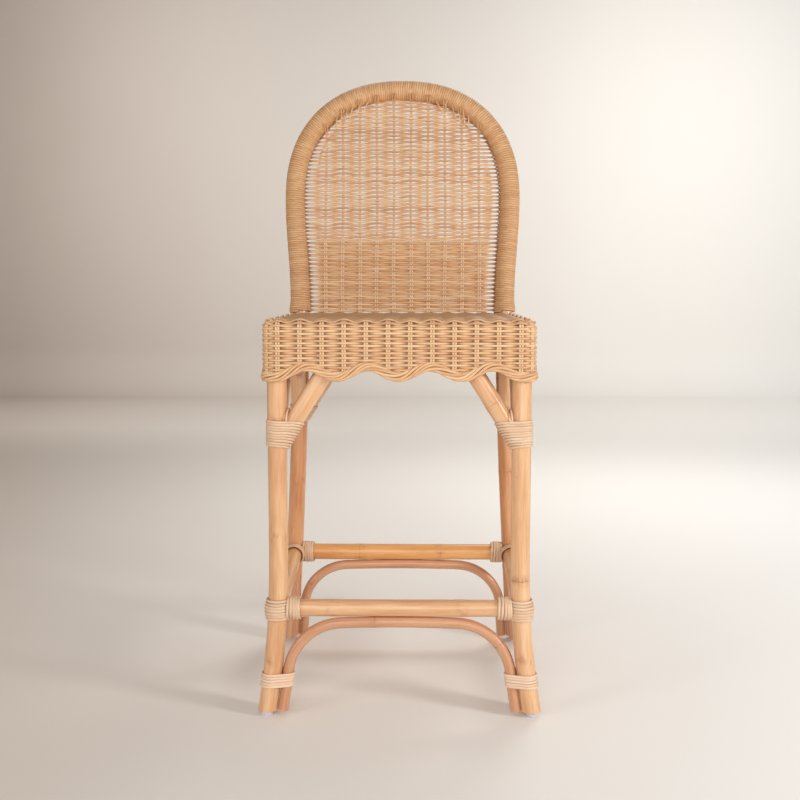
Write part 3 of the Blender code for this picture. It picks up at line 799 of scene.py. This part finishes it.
def add_seat_stake(strands, share, shift, tone):
    """A stake up the front wall, back across the seat and down the rear wall."""
    front, side, out = stake_line(share, shift, 0.0)
    mirror = np.array([1, -1, 1])
    rear = front[::-1] * mirror + np.array([0, REAR_LEG_Y + FRONT_LEG_Y, 0])
    y = np.arange(front[-1, 1] + 0.01, rear[0, 1] - 0.005, 0.01)
    middle = np.column_stack([np.full(len(y), front[-1, 0]), y, np.full(len(y), front[-1, 2])])
    wide = np.vstack([side, np.repeat(side[-1:], len(y), axis=0), side[::-1]]) * STAKE_CANE[0]
    upright = np.repeat([[0.0, 0.0, 1.0]], len(y), axis=0)
    thick = np.vstack([out, upright, out[::-1] * mirror]) * STAKE_CANE[1]
    strands.add(np.vstack([front, middle, rear]), wide, thick, tone=tone)


def add_braid():
    """The rolled border: strands that twist round each other along the scalloped edge."""
    rng = np.random.default_rng(33)
    strands = Strands()
    share = even_shares(BRAID_POINTS)
    place, facing = edge_point(share, BRAID_OFFSET)
    base = np.column_stack([place, scallop_height(share)])
    length = run_length(base)
    total = length[-1] + np.linalg.norm(base[0] - base[-1])
    turns = round(total / BRAID_TWIST)
    out = np.column_stack([facing, np.zeros(len(share))])
    up = unit(np.cross(tangents(base, closed=True), out))
    up = up * np.sign(up[:, 2:3])
    for i in range(BRAID_STRANDS):
        angle = 2 * np.pi * (turns * length / total + i / BRAID_STRANDS)
        drift = BRAID_DRIFT * np.sin(2 * np.pi * (5 + i) * length / total + i)
        rise = BRAID_RISE * np.sin(angle) + drift
        centre = base + up * rise[:, None] + out * (BRAID_DEPTH * np.cos(angle))[:, None]
        strands.add(centre, up * BRAID_CANE[0], out * BRAID_CANE[1], sides=10, closed=True,
                    tone=rng.uniform(0.2, 0.9))
    for rise in (-BRAID_CORE_RISE, BRAID_CORE_RISE):
        strands.add(base + up * rise, up * BRAID_CORE[0], out * BRAID_CORE[1], closed=True, tone=0.2)
    place_piece(strands, "skirt_braid", "wicker")


# ---------------- back

def hoop_y(height):
    return HOOP_Y + (np.asarray(height) - HOOP_TILT_FROM) * math.tan(HOOP_RAKE)


def hoop_arc(angle, inset):
    """Points (x, height) on the hoop's arc, a little squarer than a circle, less an inset."""
    reach = np.abs(np.cos(angle)) ** (2 / HOOP_ARC_POWER)
    across = -np.sign(np.cos(angle)) * reach
    up = np.abs(np.sin(angle)) ** (2 / HOOP_ARC_POWER)
    steep = HOOP_ARC_POWER - 1
    normal = unit(np.stack([np.sign(across) * reach ** steep, up ** steep], axis=-1))
    x = HOOP_ARC_RADIUS * across - inset * normal[..., 0]
    return x, HOOP_ARC_CENTRE + HOOP_ARC_RADIUS * up - inset * normal[..., 1]


def hoop_outline(bottom, inset):
    """The hoop's outline from the left foot over the top to the right foot, as (x, height)."""
    heights = np.linspace(bottom, HOOP_ARC_CENTRE, 60, endpoint=False)
    ease = smoothstep(HOOP_WIDENS_FROM, HOOP_ARC_CENTRE, heights)
    side = HOOP_LOW_HALF_SPACING + (HOOP_ARC_RADIUS - HOOP_LOW_HALF_SPACING) * ease - inset
    arc_x, arc_z = hoop_arc(np.linspace(0, np.pi, HOOP_ARC_POINTS), inset)
    x = np.concatenate([-side, arc_x, side[::-1]])
    z = np.concatenate([heights, arc_z, heights[::-1]])
    return x, z


def hoop_inner_half(height):
    """Half the width inside the wrapped hoop at a height."""
    x, z = hoop_outline(SEAT_TOP - 0.02, HOOP_WRAP_RADIUS)
    right = x >= 0
    order = np.argsort(z[right])
    return float(np.interp(height, z[right][order], x[right][order], right=0.0))


def hoop_inner_top(x):
    """Height of the wrapped hoop's inner edge above a place across the back."""
    arc_x, arc_z = hoop_arc(np.linspace(0, np.pi, HOOP_ARC_POINTS), HOOP_WRAP_RADIUS)
    return float(np.interp(x, arc_x, arc_z))


def hoop_line(bottom, step):
    """The hoop's centre line in space."""
    x, z = hoop_outline(bottom, 0.0)
    return resample(np.column_stack([x, hoop_y(z), z]), step)


def add_hoop():
    rng = np.random.default_rng(41)
    pole_line = hoop_line(LEG_TOP + HOOP_FOOT_GAP, POLE_STEP)
    add_pole("back_hoop", pole_line, HOOP_RADIUS * HOOP_POLE_SHARE, (), BACK_OUT, rng)
    strands = Strands()
    line = softened(hoop_line(SEAT_TOP + HOOP_WRAP_GAP, HOOP_WRAP_STEP), 20)
    turns = int(HOOP_WRAP_STEP * len(line) / HOOP_WRAP_PITCH)
    count = turns * HOOP_WRAP_STEPS
    along = tangents(line)
    side = unit(np.cross(along, BACK_OUT))
    # The last place stays just short of the last point, so that a next point always exists.
    at = np.linspace(0, len(line) - 1.001, count)
    low = np.floor(at).astype(int)
    part = (at - low)[:, None]
    middle = line[low] * (1 - part) + line[low + 1] * part
    angle = 2 * np.pi * (np.arange(count) / HOOP_WRAP_STEPS + 0.25)
    radial = np.cos(angle)[:, None] * side[low] + np.sin(angle)[:, None] * BACK_OUT
    from_end = np.minimum(at, len(line) - at) * HOOP_WRAP_STEP
    flare = HOOP_WRAP_FLARE[0] * (1 - smoothstep(0.0, HOOP_WRAP_FLARE[1], from_end))
    size = np.repeat(rng.uniform(-HOOP_WRAP_WANDER, HOOP_WRAP_WANDER, turns), HOOP_WRAP_STEPS)
    centre = middle + radial * (HOOP_RADIUS + HOOP_WRAP_LIFT + flare + size)[:, None]
    tones = np.repeat(rng.uniform(0.0, 1.0, turns) ** 1.3, HOOP_WRAP_STEPS)
    strands.add(centre, along[low] * HOOP_WRAP_CANE[0], radial * HOOP_WRAP_CANE[1], tone=tones, square=0.85)
    place_piece(strands, "hoop_wrap", "wrap")


def panel_levels():
    """Heights of the back's rows: close below, a little finer in the loose upper part."""
    top = HOOP_ARC_CENTRE + HOOP_ARC_RADIUS - HOOP_WRAP_RADIUS - 0.001
    levels = [SEAT_TOP + PANEL_FIRST_ROW]
    while levels[-1] < top:
        pitch = PANEL_CLOSE_PITCH if levels[-1] < PANEL_LOOSE_FROM else PANEL_LOOSE_PITCH
        levels.append(levels[-1] + pitch * math.cos(HOOP_RAKE))
    return levels[:-1]


def add_panel():
    rng = np.random.default_rng(42)
    strands = Strands()
    for row, z in enumerate(panel_levels()):
        inner = hoop_inner_half(z)
        half = inner + PANEL_INTO_HOOP
        if inner < 0.012:
            continue
        count = max(8, int(2 * half / PANEL_POINT_STEP))
        x = np.linspace(-half, half, count)
        sign = 1 if row % 2 == 0 else -1
        loose = float(smoothstep(PANEL_LOOSE_FROM - PANEL_BLEND, PANEL_LOOSE_FROM + PANEL_BLEND, z))
        wave = np.sin(np.pi * x / PANEL_STAKE_PITCH) * sign
        squeeze = PANEL_SQUEEZE * loose * wave * np.abs(wave) ** 0.3
        open_edge = 1 - float(smoothstep(*GATHER_ENDS, z))
        start = inner - GATHER_REACH
        spread = 1 - smoothstep(inner - 0.0045, inner + 0.002, np.abs(x))
        gather = smoothstep(start, start + GATHER_RAMP, np.abs(x)) * spread * open_edge
        rise = squeeze * (1 - gather) + sign * GATHER_UP * gather
        lift = PANEL_LIFT * shaped(wave) * (1 - gather) + sign * GATHER_OUT * gather
        rise = rise + waver(rng, x, 0.00028, 12, 40)
        rise = rise + 0.0009 * loose * np.sin(2.6 * z * 60 + x * 9) * np.sin(x * 14 + z * 31)
        base = np.column_stack([x, np.full(count, hoop_y(z)), np.full(count, z)])
        centre = base + rise[:, None] * BACK_UP + lift[:, None] * BACK_OUT
        tall = PANEL_HALF_WIDTH - 0.00026 * loose - 0.0002 * gather
        # Painted shade: rows are darkened where they pass to the back of a stake and next to the hoop's inner
        # edge.
        painted_shade_at_hoop = smoothstep(inner - 0.009, inner + 0.001, np.abs(x))
        painted_shade_at_stakes = (0.50 - 0.22 * loose) * np.clip(-wave, 0, 1) ** 3 * (1 - gather)
        strands.add(centre, BACK_UP * tall[:, None], BACK_OUT * STRAND_HALF_THICKNESS, tone=rng.uniform(),
                    shade=np.maximum(painted_shade_at_stakes, painted_shade_at_hoop))
    for stake in range(PANEL_STAKES):
        x = (stake - PANEL_STAKES / 2 + 0.5) * PANEL_STAKE_PITCH
        add_panel_stake(strands, x, rng)
    add_shoulder_loops(strands, rng)
    place_piece(strands, "back_panel", "wicker")


def add_back_cane(strands, centre, width, thickness, tone):
    """A cane that lies on the back, with its width across the line and along the back."""
    along = tangents(centre)
    side = unit(np.cross(along, BACK_OUT))
    strands.add(centre, side * width, unit(np.cross(side, along)) * thickness, tone=tone)


def add_panel_stake(strands, x, rng):
    """A stake of the back: two canes that draw together higher up and loop over the hoop."""
    top = hoop_inner_top(x) - LOOP_BELOW_HOOP
    z = np.append(np.arange(SEAT_TOP - 0.004, top, STAKE_STEP), top)
    joined = smoothstep(PANEL_LOOSE_FROM - 0.004, PANEL_LOOSE_FROM + PANEL_BLEND, z)
    apart = 0.0020 - 0.0012 * joined
    drift = waver(rng, z, 0.0008, 12, 20)
    steps = np.linspace(0, 1, 7)[1:]
    tip_z = top + 2 * LOOP_BELOW_HOOP * steps
    tip_y = hoop_y(tip_z) - LOOP_OVER_HOOP * smoothstep(0.25, 1.0, steps)
    size = 0.0018 - 0.0003 * joined
    width = np.append(size, np.full(6, size[-1]))[:, None]
    paler = np.append(1.15 - 0.75 * joined, np.full(6, 0.5))
    for way in (-1, 1):
        centre = np.column_stack([x + drift + way * apart, hoop_y(z), z])
        tip = np.column_stack([np.full(6, centre[-1, 0]) + way * 0.0022 * steps, tip_y, tip_z])
        add_back_cane(strands, np.vstack([centre, tip]), width, 0.0014, paler)


def add_shoulder_loops(strands, rng):
    """Short canes that tie the woven back to the hoop's shoulders."""
    for way in (-1, 1):
        for angle in np.radians(SHOULDER_ANGLES):
            x0, z0 = hoop_arc(np.pi - angle, HOOP_WRAP_RADIUS - 0.004)
            x1, z1 = hoop_arc(np.pi - angle + 0.10, HOOP_WRAP_RADIUS + 0.013)
            t = np.linspace(0, 1, 9)
            x = x0 + (x1 - x0) * t
            z = z0 + (z1 - z0) * t ** 1.4
            forward = 0.0165 * (1 - t) ** 1.5 + 0.0022 * t
            centre = np.column_stack([way * x, hoop_y(z) - forward, z])
            add_back_cane(strands, centre, *SHOULDER_CANE, rng.uniform(0.5, 1))


# ---------------- glides and hidden rails

def add_glides():
    count = len(GLIDE_HEIGHTS)
    radii = np.array(GLIDE_RADII)[:, None]
    for end, side in CORNERS:
        x, y, _ = leg_centre(end, side, 0.0)[0]
        centre = np.column_stack([np.full(count, x), np.full(count, y), GLIDE_HEIGHTS])
        strands = Strands()
        strands.add(centre, radii * X_AXIS, radii * np.array([0, 1.0, 0]), sides=32)
        place_piece(strands, f"glide_{end}_{side}", "glide", sharp=50)


def finish_rails(frame):
    for where in ("front", "rear", "left", "right"):
        node = frame["nodes"][f"seat_rail_{where}"]
        node.data.materials.clear()
        node.data.materials.append(MATERIALS["pole"])


# ---------------- materials

def srgb(r, g, b):
    def linear(v):
        v /= 255
        return v / 12.92 if v <= 0.04045 else ((v + 0.055) / 1.055) ** 2.4
    return (linear(r), linear(g), linear(b), 1.0)


class Nodes:
    """A small helper to lay out a Principled material."""

    def __init__(self, name):
        self.material = bpy.data.materials.new(name)
        self.material.use_nodes = True
        self.tree = self.material.node_tree
        self.surface = self.tree.nodes["Principled BSDF"]

    def feed(self, socket, value):
        """Give a socket a plain value, or link it to another node's output."""
        if isinstance(value, (int, float, tuple)):
            socket.default_value = value
        else:
            self.tree.links.new(value, socket)

    def node(self, kind, inputs=(), **settings):
        made = self.tree.nodes.new(kind)
        for key, value in settings.items():
            setattr(made, key, value)
        for key, value in dict(inputs).items():
            self.feed(made.inputs[key], value)
        return made

    def attribute(self, name, output="Fac"):
        return self.node("ShaderNodeAttribute", attribute_name=name).outputs[output]

    def parts(self, vector):
        return tuple(self.node("ShaderNodeSeparateXYZ", {0: vector}).outputs)

    def span(self, value, low, high, to_low=0.0, to_high=1.0):
        """Spread the stretch from low to high over the range given, clamped."""
        inputs = {"Value": value, "From Min": low, "From Max": high, "To Min": to_low, "To Max": to_high}
        return self.node("ShaderNodeMapRange", inputs).outputs[0]

    def falloff(self, value, reach):
        return self.span(value, 0.0, reach, 1.0, 0.0)

    def math(self, operation, a, b=0.0, c=0.0):
        return self.node("ShaderNodeMath", {0: a, 1: b, 2: c}, operation=operation).outputs[0]

    def noise(self, vector, scale, detail=3.0, roughness=0.55):
        inputs = {"Vector": vector, "Scale": scale, "Detail": detail, "Roughness": roughness}
        return self.node("ShaderNodeTexNoise", inputs).outputs["Fac"]

    def ramp(self, factor, stops):
        made = self.node("ShaderNodeValToRGB", {"Fac": factor})
        while len(made.color_ramp.elements) < len(stops):
            made.color_ramp.elements.new(0.5)
        for element, (place, colour) in zip(made.color_ramp.elements, stops):
            element.position = place
            element.color = colour
        return made.outputs["Color"]

    def mix(self, factor, a, b):
        return self.node("ShaderNodeMix", {0: factor, 6: a, 7: b}, data_type="RGBA").outputs[2]

    def position(self):
        return self.node("ShaderNodeNewGeometry").outputs["Position"]

    def combine(self, x, y, z):
        return self.node("ShaderNodeCombineXYZ", {0: x, 1: y, 2: z}).outputs[0]

    def bump(self, height, strength, distance):
        inputs = {"Strength": strength, "Distance": distance, "Height": height}
        self.feed(self.surface.inputs["Normal"], self.node("ShaderNodeBump", inputs).outputs[0])

    def colour(self, value):
        self.feed(self.surface.inputs["Base Color"], value)

    def roughness(self, value, low, high):
        self.feed(self.surface.inputs["Roughness"], self.span(value, 0.0, 1.0, low, high))

    def coat(self, weight, roughness):
        self.surface.inputs["Coat Weight"].default_value = weight
        self.surface.inputs["Coat Roughness"].default_value = roughness


def pole_material(name, light, middle, dark):
    """Peeled rattan pole: fine streaks along it, and darker broken lines at its nodes."""
    m = Nodes(name)
    tone = m.attribute("tone")
    knot = m.attribute("knot")
    cosine, sine, run = m.parts(m.attribute("ring", "Vector"))
    offset = m.math("MULTIPLY", tone, 91.0)

    def layer(repeat, scale, detail, roughness=0.55):
        """Noise on the pole's surface; a low repeat draws it out along the pole."""
        place = m.combine(cosine, sine, m.math("MULTIPLY_ADD", run, repeat, offset))
        return m.noise(place, scale, detail, roughness)

    streaks = layer(2.2, 9.0, 5.0, 0.62)
    patches = layer(7.0, 0.9, 3.0)
    blend = m.math("ADD", m.math("MULTIPLY", streaks, 0.42), m.math("MULTIPLY", patches, 0.58))
    blend = m.math("ADD", blend, m.math("MULTIPLY", m.math("SUBTRACT", tone, 0.5), 0.08))
    base = m.ramp(blend, ((0.32, srgb(*dark)), (0.50, srgb(*middle)), (0.66, srgb(*light))))
    patch = layer(30.0, 1.6, 3.0)
    broken = m.math("MULTIPLY", m.falloff(knot, 0.0020), m.span(patch, 0.40, 0.56))
    near = m.math("MULTIPLY", m.falloff(knot, 0.014), m.span(patch, 0.48, 0.66))
    stained = m.mix(m.math("MULTIPLY", near, 0.6), base, srgb(*NODE_STAIN))
    stained = m.mix(m.math("MULTIPLY", broken, 0.85), stained, srgb(*NODE_LINE))
    fleck = m.span(layer(90.0, 3.2, 2.0), 0.72, 0.78)
    m.colour(m.mix(m.math("MULTIPLY", fleck, 0.5), stained, srgb(*POLE_FLECK)))
    m.roughness(streaks, 0.26, 0.42)
    relief = m.math("SUBTRACT", m.math("MULTIPLY", streaks, 0.30), m.math("MULTIPLY", broken, 0.8))
    m.bump(relief, 0.30, 0.0005)
    m.coat(0.30, 0.22)
    return m.material


def strand_material(name, light, middle, dark, groove, painted_shade_depth, coat=0.1, patchy=0.35, own=0.25):
    """Round rattan core or cane: fibres along it, its own tone, and painted shade in the grooves and where it
    lies hidden.
    """
    m = Nodes(name)
    tone = m.attribute("tone")
    cosine, sine, run = m.parts(m.attribute("ring", "Vector"))
    seed = m.math("MULTIPLY", tone, 37.0)
    along = m.noise(m.combine(run, seed, 0.0), 16.0, 4.0)
    fibres = m.noise(m.combine(cosine, m.math("ADD", sine, seed), m.math("MULTIPLY", run, 14.0)), 5.0, 3.0)
    blend = m.math("ADD", m.math("MULTIPLY", along, patchy), m.math("MULTIPLY", fibres, 1.0 - patchy))
    blend = m.math("ADD", blend, m.math("MULTIPLY", m.math("SUBTRACT", tone, 0.5), own))
    base = m.ramp(blend, ((0.30, srgb(*dark)), (0.50, srgb(*middle)), (0.70, srgb(*light))))
    # Painted shade: the strand's sides, where it meets its neighbours, and its shade attribute mix the colour
    # towards a dark brown.
    side = m.math("MULTIPLY", m.math("POWER", m.math("ABSOLUTE", cosine), 5.0), groove)
    hidden = m.math("MAXIMUM", side, m.math("MULTIPLY", m.attribute("shade"), painted_shade_depth))
    m.colour(m.mix(hidden, base, srgb(*STRAND_PAINTED_SHADE)))
    m.roughness(fibres, 0.34, 0.54)
    m.bump(fibres, 0.22, 0.0003)
    m.coat(coat, 0.25)
    return m.material


def glide_material():
    m = Nodes("glide_plastic")
    cloud = m.noise(m.position(), 300.0, 2.0)
    m.colour(m.ramp(cloud, ((0.3, srgb(196, 198, 214)), (0.7, srgb(214, 214, 226)))))
    m.roughness(cloud, 0.30, 0.45)
    m.bump(cloud, 0.1, 0.0002)
    m.surface.inputs["Subsurface Weight"].default_value = 0.3
    m.surface.inputs["Subsurface Scale"].default_value = 0.003
    return m.material


def backdrop_material():
    """Pale paper with painted shade: warmer and darker to the left, as if lit from the right, and the wall a
    little darker than the floor.
    """
    m = Nodes("backdrop")
    cloud = m.noise(m.position(), 0.8, 2.0)
    x, y, _ = m.parts(m.position())
    # Painted shade: the colour darkens from right to left across the backdrop.
    depth = m.math("MAXIMUM", m.math("ADD", y, 2.4), 1.5)
    across = m.span(m.math("DIVIDE", x, depth), -0.34, 0.34)
    across = m.math("ADD", across, m.math("MULTIPLY", m.math("SUBTRACT", cloud, 0.5), 0.10))
    wall = m.ramp(across, ((0.0, srgb(190, 176, 166)), (0.25, srgb(212, 202, 193)),
                           (0.72, srgb(240, 236, 230)), (1.0, srgb(246, 244, 240))))
    floor = m.ramp(across, ((0.0, srgb(226, 214, 203)), (0.3, srgb(246, 239, 231)),
                            (1.0, srgb(252, 250, 246))))
    m.colour(m.mix(m.span(y, 3.4, 5.0), floor, wall))
    m.roughness(cloud, 0.75, 0.85)
    return m.material


def make_materials():
    poles = {
        "rattan_pole": ((240, 202, 160), (228, 178, 132), (206, 150, 104)),
        "rattan_pole_rear": ((230, 178, 130), (216, 154, 106), (192, 128, 82)),
        # Darker colours for the rear legs: painted shade.
        "rattan_pole_golden": ((238, 182, 118), (228, 164, 98), (204, 136, 74)),
        "rattan_pole_arch": ((222, 174, 138), (210, 156, 118), (188, 130, 92)),
    }
    wicker = ((244, 208, 164), (227, 180, 134), (198, 142, 94))
    wrap = ((232, 190, 144), (219, 171, 122), (196, 143, 94))
    cane = ((240, 212, 184), (228, 192, 158), (206, 166, 128))
    pale = ((250, 226, 202), (241, 208, 178), (222, 184, 150))
    looks = {name.removeprefix("rattan_"): pole_material(name, *tones) for name, tones in poles.items()}
    looks["wicker"] = strand_material("wicker", *wicker, groove=0.46, painted_shade_depth=0.85)
    looks["wrap"] = strand_material("hoop_cane", *wrap, groove=0.42, painted_shade_depth=0.5, coat=0.2, patchy=0.10,
                                    own=0.16)
    looks["cane"] = strand_material("binding_cane", *cane, groove=0.45, painted_shade_depth=0.5, coat=0.3, own=0.10)
    looks["cane_pale"] = strand_material("binding_cane_pale", *pale, groove=0.42, painted_shade_depth=0.5, coat=0.3,
                                         own=0.10)
    looks["glide"] = glide_material()
    looks["backdrop"] = backdrop_material()
    return looks


# ---------------- studio

def add_backdrop():
    """A pale floor that curves up into a wall far behind the stool."""
    front, back, bend, high, half = -6.0, 5.2, 0.3, 4.5, 7.0
    angle = np.linspace(0, np.pi / 2, 17)
    y = np.concatenate([[front], back - bend + bend * np.sin(angle), [back]])
    z = np.concatenate([[0.0], bend - bend * np.cos(angle), [high]])
    points = [(x, b, c) for x in (-half, half) for b, c in zip(y, z)]
    count = len(y)
    faces = [(i, count + i, count + i + 1, i + 1) for i in range(count - 1)]
    mesh = bpy.data.meshes.new("backdrop")
    mesh.from_pydata(points, [], faces)
    mesh.shade_smooth()
    mesh.materials.append(MATERIALS["backdrop"])
    backdrop = bpy.data.objects.new("backdrop", mesh)
    bpy.context.scene.collection.objects.link(backdrop)


def add_light(name, place, target, size, power, colour, spread=180):
    data = bpy.data.lights.new(name, "AREA")
    data.shape = "DISK"
    data.size = size
    data.energy = power
    data.color = colour
    data.spread = math.radians(spread)
    light = bpy.data.objects.new(name, data)
    light.location = place
    light.rotation_mode = "QUATERNION"
    light.rotation_quaternion = (Vector(target) - Vector(place)).to_track_quat("-Z", "Y")
    bpy.context.scene.collection.objects.link(light)


def add_studio():
    add_backdrop()
    add_light("key", (2.3, -1.3, 1.2), (0, 0, 0.45), 0.6, 27, (1.0, 0.98, 0.96))
    add_light("front", (0.0, -3.8, 1.4), (0, 0, 0.5), 2.8, 58, (1.0, 0.985, 0.97))
    add_light("left", (-2.3, -1.8, 1.1), (0, 0, 0.5), 0.8, 11, DAYLIGHT)
    add_light("floor", (0.9, 2.0, 2.9), (0.8, 1.7, 0), 1.2, 15, DAYLIGHT, 100)
    add_light("wall_right", (1.9, 2.6, 2.5), (1.6, 5.2, 1.2), 2.0, 19, DAYLIGHT, 110)
    add_light("wall_left", (-1.9, 2.6, 2.5), (-1.4, 5.2, 1.1), 2.0, 16, DAYLIGHT, 110)
    world = bpy.data.worlds.new("studio")
    world.use_nodes = True
    background = world.node_tree.nodes["Background"]
    background.inputs["Color"].default_value = (0.90, 0.87, 0.84, 1.0)
    background.inputs["Strength"].default_value = 0.40
    bpy.context.scene.world = world
    bpy.context.scene.view_settings.view_transform = "Standard"


def add_camera():
    data = bpy.data.cameras.new("camera")
    data.sensor_width = 36.0
    data.lens = CAMERA_LENS
    camera = bpy.data.objects.new("camera", data)
    camera.location = CAMERA_PLACE
    camera.rotation_euler = (math.radians(90 - CAMERA_DOWN), 0.0, math.radians(CAMERA_TURN))
    bpy.context.scene.collection.objects.link(camera)
    bpy.context.scene.camera = camera


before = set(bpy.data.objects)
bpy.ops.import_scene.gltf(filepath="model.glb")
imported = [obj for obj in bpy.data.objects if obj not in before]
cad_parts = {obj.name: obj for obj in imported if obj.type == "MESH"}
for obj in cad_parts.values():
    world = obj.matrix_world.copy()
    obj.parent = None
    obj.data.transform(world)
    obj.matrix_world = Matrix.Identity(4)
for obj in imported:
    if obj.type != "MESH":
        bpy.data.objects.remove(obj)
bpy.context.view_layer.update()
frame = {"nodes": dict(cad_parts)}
MATERIALS = make_materials()
add_poles()
add_foot_bindings()
add_leg_bindings()
add_stretcher_wraps()
add_brace_bindings()
add_skirt()
add_seat()
add_braid()
add_hoop()
add_panel()
add_glides()
finish_rails(frame)
add_studio()
add_camera()
